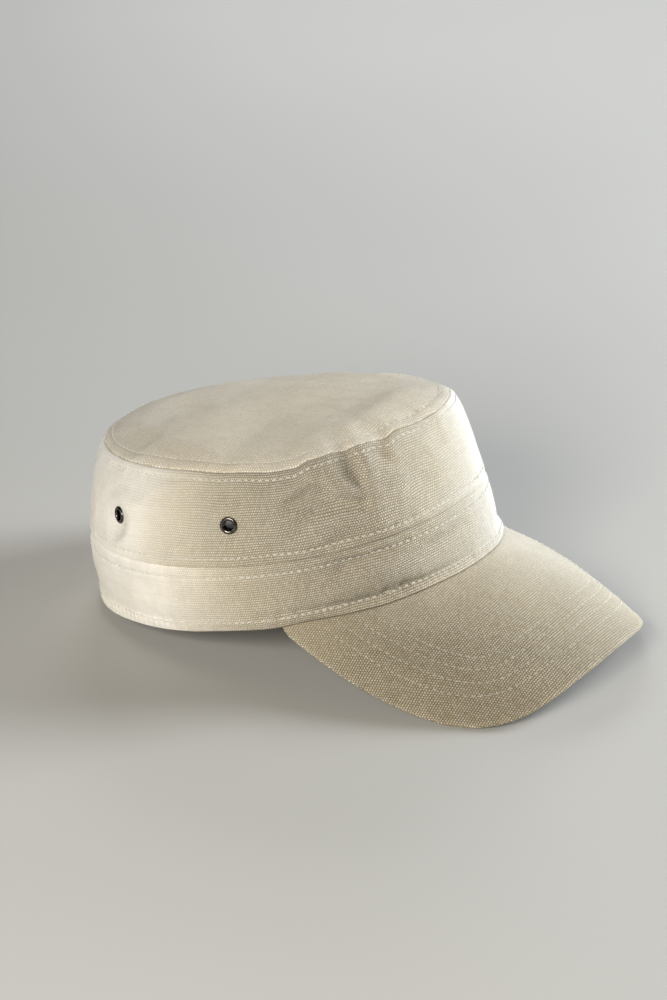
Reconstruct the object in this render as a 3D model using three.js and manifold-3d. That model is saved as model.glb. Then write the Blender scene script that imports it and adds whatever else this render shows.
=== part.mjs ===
// Flat-topped canvas field cap: top panel, crown side wall, double band, curved peak and four vent eyelets.
// Millimetres, +Z up. The front (peak) points to -Y and the wearer's right is -X.
// The cap rests on the back of its band and on the two drooping corners of its peak.
// Every ring of the cap is an oval described by angle: 0 is the front, 180 the back, negative the wearer's right.
import * as THREE from 'three';
import { mergeVertices } from 'three/addons/utils/BufferGeometryUtils.js';
import Module from 'manifold-3d';

const wasm = await Module();
wasm.setup();

// ---------------------------------------------------------------- driving dimensions (mm, degrees)
// Ovals in the cap's own frame. height(angle) = level + slope*cos(angle) + arch*cos(angle)^2
const RINGS = {
  rim:     { halfLength: 100.0, halfWidth: 82.2, power: 2.20, egg:  0.065, shift:  0.0, level: -5.0, slope:  0.0, arch: 4.2 },
  seam:    { halfLength:  95.3, halfWidth: 84.1, power: 2.20, egg:  0.065, shift: -0.4, level: 26.8, slope: -3.4, arch: 5.0 },
  topSeam: { halfLength:  89.8, halfWidth: 66.0, power: 2.05, egg: -0.083, shift:  0.3, level: 66.7, slope:  1.1, arch: 3.3 },
};
const SIDE_BULGE = { front: 2.3, back: 3.0, side: 4.5, skew: 1.52, power: 0.56 };
const TOP_DOME = { rise: 8.6, roundness: 9.0 };
const PEAK = {
  halfAngle: 68.6, endAngle: 68.0, length: 74.4, pitch: 34.4, pitchSide: 12.3, flare: 0.223,
  outline: 5.44, corner: 1.01, sideGain: 0.393, sidePower: 2.24, thick: 2.4, underBand: 2.3,
};
const WALL = { top: 2.0, side: 2.0, band: 2.6 };
const GAP = 0.3;                       // clearance between sewn pieces
const HEM = { height: 5.6, proud: 0.45 };
const BAND_FULLNESS = { side: 1.1, front: 0.3 };   // soft outward roll of the double band between its two stitched edges
const TILT = 13.05;                    // the front is raised by this much when the cap rests by itself
const LIFT = 23.05;                    // brings the resting edges down onto z = 0
const PRESS = 0.8;                     // cloth closer to the surface than this lies flat on it
const CENTRE = { x: -0.05, y: 30.745 };   // puts the origin under the middle of the cap
const EYELET = { flange: 4.2, barrel: 3.2, hole: 2.65, cut: 3.5, roll: 0.55, lift: 0.6, sides: 20 };

// ---------------------------------------------------------------- tables of folds and waves
// Rise of the top seam above its plain oval, by angle
const SEAM_WAVE = [
  { angle: -180, rise:  0.8 }, { angle: -150, rise:  1.1 }, { angle: -116, rise:  1.1 }, { angle: -96, rise:  1.1 },
  { angle:  -76, rise: -0.4 }, { angle:  -63, rise: -2.2 }, { angle:  -57, rise: -2.1 }, { angle: -51, rise:  0.3 },
  { angle:  -45, rise:  0.9 }, { angle:  -39, rise: -0.4 }, { angle:  -35, rise:  0.9 }, { angle: -31, rise:  0.8 }, { angle:  -25, rise: -1.0 }, { angle: -19, rise:  0.8 },
  { angle:   -6, rise: -0.5 }, { angle:   18, rise:  0.5 }, { angle:   44, rise: -0.6 }, { angle:  66, rise:  0.5 },
  { angle:   92, rise: -0.7 }, { angle:  118, rise:  0.7 }, { angle:  146, rise:  1.2 }, { angle: 180, rise:  0.8 },
];
// Rise of the lower edge
const RIM_WAVE = [
  { angle: -180, rise:  0.0 }, { angle: -120, rise:  0.0 }, { angle: -100, rise: -0.8 }, { angle: -84, rise: -0.3 },
  { angle:  -72, rise: -0.5 }, { angle:  -60, rise:  0.8 }, { angle:  -40, rise:  0.2 }, { angle: -22, rise:  0.6 },
  { angle:    0, rise:  0.0 }, { angle:   30, rise:  0.3 }, { angle:   64, rise:  0.5 }, { angle: 100, rise: -0.5 },
  { angle:  130, rise:  0.0 }, { angle:  180, rise:  0.0 },
];
// Folds and dents. from/to: angle round the cap and height within the piece (0 lower seam, 1 upper seam);
// width: how wide the fold is; depth: outward when positive, inward when negative.
const SIDE_FOLDS = [
  { from: [ -39.0, 1.00], to: [ -37.5, 0.72], width:  3.0, depth: -1.5 },   // creases hanging from the top seam
  { from: [ -25.2, 1.00], to: [ -26.5, 0.76], width:  3.0, depth: -1.7 },
  { from: [ -32.5, 0.94], to: [ -32.5, 0.72], width:  4.0, depth:  0.9 },
  { from: [ -44.0, 0.88], to: [ -43.0, 0.78], width:  4.5, depth:  1.1 },
  { from: [ -63.0, 0.56], to: [ -48.0, 0.79], width:  4.5, depth: -1.6 },   // diagonal fold behind the front corner
  { from: [ -54.0, 0.40], to: [ -51.0, 0.32], width:  6.0, depth:  0.8 },
  { from: [ -41.5, 0.56], to: [ -46.0, 0.24], width:  7.0, depth: -1.1 },   // broad soft hollows
  { from: [ -13.8, 0.60], to: [ -14.5, 0.42], width:  8.0, depth: -1.0 },
  { from: [ -58.0, 0.40], to: [ -60.0, 0.22], width:  6.0, depth: -0.9 },
  { from: [ -95.0, 0.62], to: [-112.0, 0.30], width: 12.0, depth: -0.7 },
  { from: [  28.0, 0.98], to: [  26.0, 0.66], width:  4.0, depth: -1.2 },   // far side
  { from: [  50.0, 0.80], to: [  64.0, 0.52], width:  6.0, depth: -1.3 },
  { from: [  46.0, 0.50], to: [  42.0, 0.24], width:  8.0, depth: -1.0 },
  { from: [  98.0, 0.70], to: [ 112.0, 0.34], width: 12.0, depth: -0.8 },
  { from: [ 150.0, 0.96], to: [ 152.0, 0.60], width:  6.0, depth: -1.0 },
  { from: [-158.0, 0.90], to: [-154.0, 0.50], width:  7.0, depth: -0.9 },
];
const BAND_FOLDS = [
  { from: [ -74.0, 0.23], to: [ -16.0, 0.23], width:  3.0, depth: -0.8 },   // pull above the hem stitching
  { from: [ -30.0, 0.71], to: [   2.0, 0.58], width:  4.0, depth: -0.6 },
  { from: [ -64.0, 0.62], to: [ -40.0, 0.52], width:  6.0, depth:  0.6 },
  { from: [  18.0, 0.24], to: [  70.0, 0.24], width:  3.5, depth: -0.7 },
  { from: [  14.0, 0.02], to: [  40.0, 0.02], width:  6.0, depth:  1.6 },   // the hem flares over the peak
  { from: [  14.0, 0.02], to: [  40.0, 0.02], width:  6.0, depth:  1.6 },   // the hem flares over the peak
  { from: [ 100.0, 0.60], to: [ 134.0, 0.48], width:  7.0, depth:  0.5 },
];
// Dents of the top panel, in millimetres from its middle (x to the wearer's left, y to the back)
const TOP_FOLDS = [
  { from: [  30.0, -52.0], to: [  -4.0, -57.0], width: 8.0, depth: -1.2 },
  { from: [  -4.0, -57.0], to: [ -37.0, -57.5], width: 8.0, depth: -1.2 },
  { from: [ -26.4, -80.0], to: [ -24.5, -66.0], width: 4.0, depth: -1.6 },
  { from: [ -45.0,  38.0], to: [ -45.0,  58.0], width: 4.0, depth: -0.7 },
  { from: [  24.0,  30.0], to: [  44.0,  12.0], width: 9.0, depth: -0.8 },
];
// Vent eyelets: angle round the cap and height within the side wall
const EYELETS = [
  { name: 'eyelet_right_front', angle:  -77.0, height: 0.47 },
  { name: 'eyelet_right_back',  angle: -117.8, height: 0.46 },
  { name: 'eyelet_left_front',  angle:   77.0, height: 0.47 },
  { name: 'eyelet_left_back',   angle:  117.8, height: 0.46 },
];

// ---------------------------------------------------------------- small tools
const DEG = Math.PI / 180;
const V = (x, y, z) => new THREE.Vector3(x, y, z);
const clamp = THREE.MathUtils.clamp;
const add = (p, dir, s) => p.clone().addScaledVector(dir, s);

// smooth value between the rows of an { angle, rise } table
function wave(table, angle) {
  const a = ((angle + 180) % 360 + 360) % 360 - 180;
  let i = 0;
  while (i < table.length - 2 && a > table[i + 1].angle) i++;
  const k = clamp((a - table[i].angle) / (table[i + 1].angle - table[i].angle), 0, 1);
  return THREE.MathUtils.lerp(table[i].rise, table[i + 1].rise, k * k * (3 - 2 * k));
}

// sum of the folds at a place; reach turns table places into millimetres
function folds(table, place, reach) {
  let sum = 0;
  for (const { from, to, width, depth } of table) {
    const du = place[0] - from[0], ex = (to[0] - from[0]) * reach[0], ey = (to[1] - from[1]) * reach[1];
    const px = (reach[2] ? ((du + 180) % 360 + 360) % 360 - 180 : du) * reach[0], py = (place[1] - from[1]) * reach[1];
    const k = clamp((px * ex + py * ey) / (ex * ex + ey * ey), 0, 1);
    const d2 = (px - k * ex) ** 2 + (py - k * ey) ** 2;
    sum += depth * Math.exp(-d2 / (width * width));
  }
  return sum;
}
const ROUND = 86 * DEG;    // millimetres of wall per degree round the cap
const sideFold = (angle, h) => folds(SIDE_FOLDS, [angle, h], [ROUND, 38, true]) * Math.min(1, h / 0.15);
const bandFold = (angle, h) => folds(BAND_FOLDS, [angle, h], [ROUND, 33, true]) * Math.min(1, (1 - h) / 0.15);
const topFold = (x, y) => folds(TOP_FOLDS, [x, y], [1, 1, false]);

// ---------------------------------------------------------------- surfaces in the cap's own frame
function ring(r, angle) {
  const c = Math.cos(angle * DEG), s = Math.sin(angle * DEG);
  const k = (Math.abs(c) ** r.power + Math.abs(s) ** r.power) ** (-1 / r.power);
  const y = -r.halfLength * c * k;
  return V(r.halfWidth * s * k * (1 + r.egg * y / r.halfLength), y + r.shift, r.level + r.slope * c + r.arch * c * c);
}
function rim(angle) { const p = ring(RINGS.rim, angle); p.z += wave(RIM_WAVE, angle); return p; }
function seam(angle) { return ring(RINGS.seam, angle); }
function topSeam(angle) { const p = ring(RINGS.topSeam, angle); p.z += wave(SEAM_WAVE, angle); return p; }
const SEAM_WAVE_FADE = 7;              // the seam's waves die away within a finger's width of the panel's edge
function outward(angle, curve = seam) {
  const d = curve(angle + 0.01).sub(curve(angle - 0.01));
  const n = V(d.y, -d.x, 0).normalize();
  return n.dot(curve(angle).setZ(0)) < 0 ? n.negate() : n;
}
// crown side wall, height 0 at the band seam and 1 at the top seam
function side(angle, h) {
  const c = Math.cos(angle * DEG), f = Math.max(c, 0) ** 2, b = Math.max(-c, 0) ** 2, B = SIDE_BULGE;
  const bulge = (B.front * f + B.back * b + B.side * (1 - f - b)) * Math.sin(Math.PI * clamp(h, 0, 1) ** B.skew) ** B.power;
  return add(seam(angle).lerp(topSeam(angle), h), outward(angle), bulge + sideFold(angle, h));
}
// band, height 0 at the rim and 1 at the band seam; its hem strip stands a little proud
function band(angle, h) {
  const p = rim(angle).lerp(seam(angle), h), mm = h * 33;
  const fullness = BAND_FULLNESS.side + (BAND_FULLNESS.front - BAND_FULLNESS.side) * Math.max(Math.cos(angle * DEG), 0) ** 2;
  const roll = fullness * Math.sin(Math.PI * clamp((mm - HEM.height) / (33 - HEM.height), 0, 1));
  const hem = HEM.proud * clamp((HEM.height + 0.8 - mm) / 0.8, 0, 1);
  return add(p, outward(angle), roll + hem + bandFold(angle, h));
}
// top panel, out 0 in the middle and 1 at the seam
function top(angle, out) {
  const s = ring(RINGS.topSeam, angle), zc = RINGS.topSeam.level + 1.2;
  const p = V(s.x * out, RINGS.topSeam.shift + (s.y - RINGS.topSeam.shift) * out, zc + (s.z - zc) * out * out + TOP_DOME.rise * (1 - out ** TOP_DOME.roundness));
  p.z += wave(SEAM_WAVE, angle) * out ** SEAM_WAVE_FADE;
  p.z += topFold(p.x, p.y);
  return p;
}
// upper face of the peak, out 0 at the rim and 1 at its outer edge
function peak(angle, out) {
  const r = Math.abs(angle / PEAK.halfAngle), p = rim(angle);
  const dip = (PEAK.pitch + PEAK.pitchSide * r ** PEAK.sidePower) * DEG;
  const reach = PEAK.length * Math.max(1 - r ** PEAK.outline, 0) ** (1 / PEAK.corner) * (1 + PEAK.sideGain * r * r);
  const dir = V(PEAK.flare * p.x / RINGS.rim.halfWidth * Math.cos(dip), -Math.cos(dip), -Math.sin(dip)).normalize();
  return add(p, dir, reach * out);
}
// unit normal of a surface, pointing away from the cap's middle
function normal(surface, angle, at, towards, step = 0.03) {
  const lo = Math.max(at - step, 0), hi = Math.min(at + step, 1);
  const a = surface(angle + 0.6, at).sub(surface(angle - 0.6, at)), b = surface(angle, hi).sub(surface(angle, lo));
  const n = a.cross(b).normalize();
  return n.dot(towards) < 0 ? n.negate() : n;
}

// the cap set down on a flat surface, front raised, cloth flattened where it touches
const tilt = new THREE.Matrix4().makeRotationX(-TILT * DEG);
const settled = new THREE.Matrix4().makeTranslation(CENTRE.x, CENTRE.y, LIFT).multiply(tilt);
function settle(p) {
  const q = p.clone().applyMatrix4(settled);
  if (q.z < PRESS) q.z = 0;
  return q;
}

// closed body lofted through equal closed sections; joined end to start, or with both ends closed
function loft(sections, joined) {
  const n = sections.length, m = sections[0].length, index = [];
  for (let i = 0; i < (joined ? n : n - 1); i++) {
    for (let j = 0; j < m; j++) {
      const a = i * m + j, b = i * m + (j + 1) % m, c = ((i + 1) % n) * m + (j + 1) % m, d = ((i + 1) % n) * m + j;
      index.push(a, b, c, a, c, d);
    }
  }
  if (!joined) {             // each section is an upper row followed by the lower row backwards
    for (let j = 0; j < m / 2 - 1; j++) {
      const a = j, b = j + 1, c = m - 2 - j, d = m - 1 - j, e = (n - 1) * m;
      index.push(a, c, b, a, d, c, e + a, e + b, e + c, e + a, e + c, e + d);
    }
  }
  const points = sections.flat().map(settle);
  return closedBody(points, index);
}
function closedBody(points, index) {
  let volume = 0;
  for (let i = 0; i < index.length; i += 3) {
    volume += points[index[i]].dot(points[index[i + 1]].clone().cross(points[index[i + 2]]));
  }
  if (volume < 0) for (let i = 0; i < index.length; i += 3) [index[i + 1], index[i + 2]] = [index[i + 2], index[i + 1]];
  const g = new THREE.BufferGeometry().setFromPoints(points);
  g.setIndex(index);
  return g;
}

// angles of the sections: close together over the front, wider apart round the back
const ANGLES = [];
for (let a = -76; a <= 76; a += 4) ANGLES.push(a);
for (let i = 1; i < 32; i++) ANGLES.push(76 + i * 208 / 32);

// ---------------------------------------------------------------- pieces
// shared direction of the two edges that meet at the top seam
function topJoint(angle) {
  const s = topSeam(angle), up = V(0, 0, 1);
  const ns = normal(side, angle, 0.95, outward(angle), 0.05), nt = normal(top, angle, 0.985, up, 0.015);
  const m = ns.clone().add(nt).normalize();
  const over = top(angle, 0.97).sub(s);
  const across = over.addScaledVector(m, -over.dot(m)).normalize();   // from the side wall's edge to the panel's edge
  return { s, m, across, deep: WALL.side / m.dot(ns) };
}

function topPanel() {
  const rings = [0.25, 0.5, 0.7, 0.83, 0.91, 0.96], under = [0.9, 0.75, 0.45];
  const points = [top(0, 0)], index = [], n = ANGLES.length;
  const loops = [
    ...rings.map(o => ANGLES.map(a => top(a, o))),
    ANGLES.map(a => { const t = topJoint(a); return add(t.s, t.across, GAP / 2); }),
    ANGLES.map(a => { const t = topJoint(a); return add(add(t.s, t.across, GAP / 2), t.m, -t.deep); }),
    ...under.map(o => ANGLES.map(a => add(top(a, o), normal(top, a, o, V(0, 0, 1)), -WALL.top))),
  ];
  loops.forEach(l => points.push(...l));
  points.push(add(top(0, 0), V(0, 0, 1), -WALL.top));
  const last = points.length - 1;
  for (let i = 0; i < n; i++) {
    const j = (i + 1) % n;
    index.push(0, 1 + i, 1 + j);
    for (let k = 0; k < loops.length - 1; k++) {
      const a = 1 + k * n + i, b = 1 + k * n + j, c = 1 + (k + 1) * n + j, d = 1 + (k + 1) * n + i;
      index.push(a, c, b, a, d, c);
    }
    const e = 1 + (loops.length - 1) * n;
    index.push(last, e + j, e + i);
  }
  return closedBody(points.map(settle), index);
}

function crownSide() {
  const rows = [0.1, 0.24, 0.4, 0.56, 0.72, 0.86, 0.95], inner = [0.9, 0.7, 0.48, 0.25];
  const low = GAP / 2 / 38;
  return loft(ANGLES.map(a => {
    const t = topJoint(a), n0 = outward(a);
    const edge = add(t.s, t.across, -GAP / 2), foot = side(a, low);
    return [
      foot, ...rows.map(h => side(a, h)), edge, add(edge, t.m, -t.deep),
      ...inner.map(h => add(side(a, h), normal(side, a, h, n0), -WALL.side)), add(foot, n0, -WALL.side),
    ];
  }), true);
}

function bandWall() {
  const rows = [0.09, HEM.height / 33, (HEM.height + 1) / 33, 0.36, 0.56, 0.78], inner = [0.75, 0.4];
  const high = 1 - GAP / 2 / 33;
  return loft(ANGLES.map(a => {
    const n0 = outward(a, rim), head = band(a, high), foot = band(a, 0);
    return [
      foot, ...rows.map(h => band(a, h)), head, add(head, n0, -WALL.band),
      ...inner.map(h => add(rim(a).lerp(seam(a), h), n0, -WALL.band)), add(foot, n0, -WALL.band),
    ];
  }), true);
}

function peakPlate() {
  const outs = [0.1, 0.28, 0.48, 0.68, 0.86, 1.0], up = V(0, 0, 1);
  const angles = [];
  for (let a = -PEAK.endAngle; a <= PEAK.endAngle; a += 4) angles.push(a);
  return loft(angles.map(a => {
    const n0 = outward(a, rim), edge = add(rim(a), up, -GAP);
    const upper = [add(edge, n0, -PEAK.underBand), edge, ...outs.map(o => add(peak(a, o), up, -GAP))];
    const lower = [
      add(upper[0], up, -PEAK.thick), add(upper[1], up, -PEAK.thick),
      ...outs.map((o, i) => add(upper[i + 2], normal(peak, a, o, up, 0.1), -PEAK.thick)),
    ];
    return [...upper, ...lower.reverse()];
  }), false);
}

// rolled vent grommet: outer flange, barrel through the cloth and a clinched inner flange, axis along +Z
function eyeletBody() {
  const E = EYELET, lo = -(WALL.side + 2 * E.lift), r = E.roll;
  const profile = [
    [E.hole, lo], [E.hole, r * 0.8], [E.hole + 0.35, r * 1.7], [E.hole + 0.9, r * 1.7], [E.flange, r * 0.5], [E.flange, 0],
    [E.barrel, 0], [E.barrel, lo], [E.flange, lo], [E.flange - 0.3, lo - 0.5], [E.hole + 0.4, lo - 0.7],
  ].map(([x, y]) => new THREE.Vector2(x, y)).reverse();
  profile.push(profile[0].clone());
  const g = new THREE.LatheGeometry(profile, E.sides);
  g.rotateX(Math.PI / 2);
  g.deleteAttribute('normal');
  g.deleteAttribute('uv');
  return mergeVertices(g, 1e-4);
}
function eyeletFrame({ angle, height }) {
  const at = side(angle, height), n = normal(side, angle, height, outward(angle), 0.06);
  return settled.clone().multiply(new THREE.Matrix4().makeTranslation(at.x, at.y, at.z))
    .multiply(new THREE.Matrix4().makeRotationFromQuaternion(new THREE.Quaternion().setFromUnitVectors(V(0, 0, 1), n)));
}

// cut one closed body from another
function solid(g) {
  const m = mergeVertices(g, 1e-5);
  return new wasm.Manifold(new wasm.Mesh({
    numProp: 3, vertProperties: new Float32Array(m.attributes.position.array), triVerts: new Uint32Array(m.index.array),
  }));
}
function geometry(body) {
  const m = body.getMesh(), g = new THREE.BufferGeometry();
  g.setAttribute('position', new THREE.BufferAttribute(new Float32Array(m.vertProperties), 3));
  g.setIndex(new THREE.BufferAttribute(new Uint32Array(m.triVerts), 1));
  return g;
}
function punched(wall) {
  let body = solid(wall);
  for (const e of EYELETS) {
    const drill = new THREE.CylinderGeometry(EYELET.cut, EYELET.cut, 14, EYELET.sides);
    drill.deleteAttribute('normal');
    drill.deleteAttribute('uv');
    drill.rotateX(Math.PI / 2);
    drill.applyMatrix4(eyeletFrame(e));
    body = body.subtract(solid(drill));
  }
  return geometry(body);
}

// ---------------------------------------------------------------- the cap
const canvas = (colour, roughness = 0.95) => new THREE.MeshStandardMaterial({ color: colour, roughness, metalness: 0 });
const cap = new THREE.Group();
cap.name = 'cap';
function piece(name, g, material, parent = cap) {
  g.computeVertexNormals();
  const mesh = new THREE.Mesh(g, material);
  mesh.name = name;
  parent.add(mesh);
  return mesh;
}
piece('top_panel', topPanel(), canvas(0xc6bda6));
piece('crown_side', punched(crownSide()), canvas(0xcdc5af));
piece('band', bandWall(), canvas(0xcbc2ab));
piece('peak', peakPlate(), canvas(0xc2b89e));
const eyelets = new THREE.Group();
eyelets.name = 'eyelets';
cap.add(eyelets);
for (const e of EYELETS) {
  const mesh = piece(e.name, eyeletBody(), new THREE.MeshStandardMaterial({ color: 0x3a3a3d, roughness: 0.25, metalness: 1.0 }), eyelets);
  const frame = eyeletFrame(e).multiply(new THREE.Matrix4().makeTranslation(0, 0, EYELET.lift));
  frame.decompose(mesh.position, mesh.quaternion, mesh.scale);
}

export default cap;
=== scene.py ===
import math

import bpy
import mathutils
import numpy as np
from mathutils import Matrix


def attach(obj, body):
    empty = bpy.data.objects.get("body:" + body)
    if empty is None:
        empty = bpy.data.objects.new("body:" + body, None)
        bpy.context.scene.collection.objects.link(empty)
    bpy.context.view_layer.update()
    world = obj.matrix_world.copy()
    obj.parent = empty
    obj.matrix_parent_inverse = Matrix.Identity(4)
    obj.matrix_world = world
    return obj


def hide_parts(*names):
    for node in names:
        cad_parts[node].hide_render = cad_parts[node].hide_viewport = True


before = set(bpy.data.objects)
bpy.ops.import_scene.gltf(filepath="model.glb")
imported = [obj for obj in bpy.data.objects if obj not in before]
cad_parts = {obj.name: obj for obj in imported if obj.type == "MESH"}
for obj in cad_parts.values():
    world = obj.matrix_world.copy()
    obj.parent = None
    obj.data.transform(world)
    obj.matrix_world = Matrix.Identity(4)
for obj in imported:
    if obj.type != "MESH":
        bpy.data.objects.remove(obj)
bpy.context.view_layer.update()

# ------------------------------------------------------------------ the cap's surfaces, in millimetres, in its own frame
# angles in degrees round the cap: 0 at the front, negative on the wearer's right
RINGS = {
    "rim": dict(length=100.0, width=82.2, power=2.20, egg=0.065, shift=0.0, level=-5.0, slope=0.0, arch=4.2),
    "seam": dict(length=95.3, width=84.1, power=2.20, egg=0.065, shift=-0.4, level=26.8, slope=-3.4, arch=5.0),
    "top": dict(length=89.8, width=66.0, power=2.05, egg=-0.083, shift=0.3, level=66.7, slope=1.1, arch=3.3),
}
BULGE = dict(front=2.3, back=3.0, side=4.5, skew=1.52, power=0.56)
DOME = dict(rise=8.42, roundness=9.0, front=5.1, front_at=37.0, front_width=41.0, side=5.2, side_at=-66.0, side_width=40.0)
PEAK = dict(half=68.6, end=68.0, length=74.4, pitch=34.4, pitch_side=12.3, flare=0.223, outline=5.44, corner=1.01, side_gain=0.393, side_power=2.24, thick=2.4, under=2.3)
WALL = dict(top=2.0, side=2.0, band=2.6)
GAP = 0.3
HEM = dict(height=5.6, proud=0.45)
TILT, LIFT, PRESS = 13.05, 23.05, 0.8
CENTRE = (-0.05, 30.745)
# rise of the top seam and of the rim by angle round the cap (0 front, negative the wearer's right)
SEAM_WAVE = np.array([(-180, 0.8), (-150, 1.1), (-116, 1.1), (-96, 1.1), (-76, -0.4), (-63, -2.2), (-57, -2.1), (-51, 0.3), (-45, 0.9), (-39, -0.4), (-35, 0.9), (-31, 0.8),
    (-25, -1.0), (-19, 0.8), (-6, -0.5), (18, 0.5), (44, -0.6), (66, 0.5), (92, -0.7), (118, 0.7), (146, 1.2), (180, 0.8)])
RIM_WAVE = np.array([(-180, 0.0), (-120, 0.0), (-100, -0.8), (-84, -0.3), (-72, -0.5), (-60, 0.8), (-40, 0.2), (-22, 0.6), (0, 0.0), (30, 0.3),
    (64, 0.5), (100, -0.5), (130, 0.0), (180, 0.0)])
SEAM_WAVE_FADE = 7.0
# from angle, from height, to angle, to height, width mm, depth mm (negative inward)
SIDE_FOLDS = [(-25.8, 1.06, -27.2, 0.86, 2.3, -1.00), (-22.8, 1.04, -23.6, 0.88, 2.4, 0.55), (-39.9, 1.06, -36.7, 0.72, 3.7, -3.09), (-26.9, 0.94, -27.8, 0.90, 4.6, -2.99), (-35.0, 0.96, -34.6, 0.68, 2.4, 1.75), (-47.0, 0.98, -44.4, 0.68, 3.8, 2.73), (-58.7, 0.62, -54.1, 0.63, 3.8, -2.54),
    (-52.7, 0.84, -43.3, 0.69, 5.1, 0.54), (-48.9, 0.60, -55.6, 0.35, 4.1, -2.77), (-56.5, 0.63, -42.0, 0.44, 2.7, -1.23), (-49.8, 0.52, -37.2, 0.43, 3.5, -2.77), (-37.6, 0.29, -53.4, -0.11, 6.2, -2.17),
    (-34.2, 0.79, -34.4, 0.22, 3.9, 2.74), (-21.8, 0.69, -33.2, 0.14, 11.0, 2.27), (-20.0, 1.00, -18.9, 0.53, 8.1, -3.02), (-12.6, 0.98, -12.9, 0.45, 6.3, -1.49), (-4.8, 0.98, -2.7, 0.82, 5.7, -2.92),
    (-59.7, 0.75, -60.0, 0.99, 7.8, 1.51), (-64.2, 0.45, -60.1, 0.18, 3.9, 1.49), (-88.0, 0.78, -92.4, 0.56, 15.8, -0.51), (-99.0, 0.69, -115.7, 0.35, 8.6, 3.60), (-51.8, 0.87, -54.8, 0.95, 3.1, 2.19),
    (-15.1, 1.01, -6.1, 0.88, 5.4, -1.99), (-61.7, 0.72, -53.9, 0.86, 2.4, 0.82), (-59.3, 0.83, -45.8, 0.85, 2.4, 1.57), (-52.2, 0.90, -39.7, 0.61, 2.5, 1.95), (-40.9, 0.52, -41.4, 0.36, 6.5, 1.91),
    (-61.4, 0.50, -53.3, 0.55, 2.4, 1.03), (-54.5, 0.24, -38.5, 0.30, 6.8, 2.67), (28.0, 0.98, 26.0, 0.66, 4.0, -1.20), (50.0, 0.80, 64.0, 0.52, 6.0, -1.30), (46.0, 0.50, 42.0, 0.24, 8.0, -1.00),
    (98.0, 0.70, 112.0, 0.34, 12.0, -0.80), (150.0, 0.96, 152.0, 0.60, 6.0, -1.00), (-158.0, 0.90, -154.0, 0.50, 7.0, -0.90)]
BAND_FOLDS = [(-61.5, -0.04, -35.7, 0.12, 2.0, -1.46), (-47.2, 0.09, -3.7, 0.08, 3.3, -3.34), (-47.4, 0.71, -44.2, 0.03, 11.1, -1.34), (-28.8, 0.58, -1.8, 0.62, 3.8, -1.24), (-63.3, 0.16, -33.5, 0.41, 12.6, 2.99),
    (-47.5, 0.72, -27.6, 0.92, 4.1, -2.33), (-98.9, 0.28, -74.3, 0.26, 6.8, 1.38), (-92.0, -0.06, -69.7, 0.03, 6.3, 3.29), (-22.5, 0.70, 0.9, 0.16, 6.0, -0.53), (-59.1, 0.24, -39.0, 0.51, 5.6, 1.78),
    (-73.2, 0.18, -51.2, 0.19, 2.6, -1.64), (-57.5, 0.15, -30.6, 0.13, 5.8, -1.90), (-34.6, 0.17, -19.0, 0.07, 4.2, -1.18), (-64.9, 0.09, -19.8, -0.09, 2.0, 1.42), (-61.1, 1.02, -26.3, 0.91, 3.3, 1.50),
    (18.0, 0.24, 70.0, 0.24, 3.5, -0.70), (14.0, 0.02, 40.0, 0.02, 6.0, 1.60), (100.0, 0.60, 134.0, 0.48, 7.0, 0.50)]
TOP_FOLDS = [(35.7, -38.1, 8.3, -49.3, 10.4, -0.90), (-2.2, -49.1, -40.8, -42.7, 5.8, -0.31), (-34.5, -75.5, -31.0, -70.5, 3.4, -0.95), (-45.8, 43.6, -35.8, 62.6, 6.8, -1.60), (37.0, 28.2, 37.9, 7.8, 7.6, -0.67),
    (-50.2, -15.8, -36.4, -14.1, 13.4, -1.60), (-12.9, -69.6, -28.2, -66.4, 9.4, 1.60), (11.0, 0.8, -19.0, 19.9, 21.5, 1.52), (-57.0, -8.0, -45.2, 32.8, 4.8, 0.72), (12.6, -67.8, 3.3, -66.6, 10.2, 1.60)]
EYELETS = [("eyelet_right_front", -77.0, 0.47), ("eyelet_right_back", -117.8, 0.46), ("eyelet_left_front", 77.0, 0.47), ("eyelet_left_back", 117.8, 0.46)]
# each eyelet's seat in the cap's own frame, and the direction it faces in the row frame by azimuth and elevation
EYELET_SEATS = [("eyelet_right_front", (-77.9, -21.85, 45.29), -71.0, 8.0), ("eyelet_right_back", (-71.57, 45.06, 47.2), -118.0, 2.0),
    ("eyelet_left_front", (77.91, -21.85, 45.49), 81.0, 12.0), ("eyelet_left_back", (71.49, 45.03, 47.01), 112.8, 10.0)]
EYELET = dict(flange=4.2, barrel=3.2, hole=2.65, cut=3.5, roll=0.55, lift=0.6)
DEG = np.pi / 180
UP = np.array([0.0, 0.0, 1.0])


def wave(table, t):
    a = (np.asarray(t, float) + 180) % 360 - 180
    i = np.clip(np.searchsorted(table[:, 0], a, side="right") - 1, 0, len(table) - 2)
    k = np.clip((a - table[i, 0]) / (table[i + 1, 0] - table[i, 0]), 0, 1)
    return table[i, 1] + (table[i + 1, 1] - table[i, 1]) * k * k * (3 - 2 * k)


def folds(table, x, y, rx, ry, wrap):
    s = np.zeros(np.broadcast(x, y).shape)
    for x0, y0, x1, y1, width, depth in table:
        ex, ey = (x1 - x0) * rx, (y1 - y0) * ry
        dx = x - x0
        if wrap:
            dx = (dx + 180) % 360 - 180
        px, py = dx * rx, (y - y0) * ry
        k = np.clip((px * ex + py * ey) / (ex * ex + ey * ey), 0, 1)
        s = s + depth * np.exp(-((px - k * ex) ** 2 + (py - k * ey) ** 2) / (width * width))
    return s


ROUND = 86 * DEG
LIMIT = 2.5                      # no fold of the side wall stands further from it than this, and none of the band than a quarter more


def side_fold(t, h):
    return LIMIT * np.tanh(folds(SIDE_FOLDS, t, h, ROUND, 38.0, True) / LIMIT) * np.minimum(1, h / 0.15)


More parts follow.
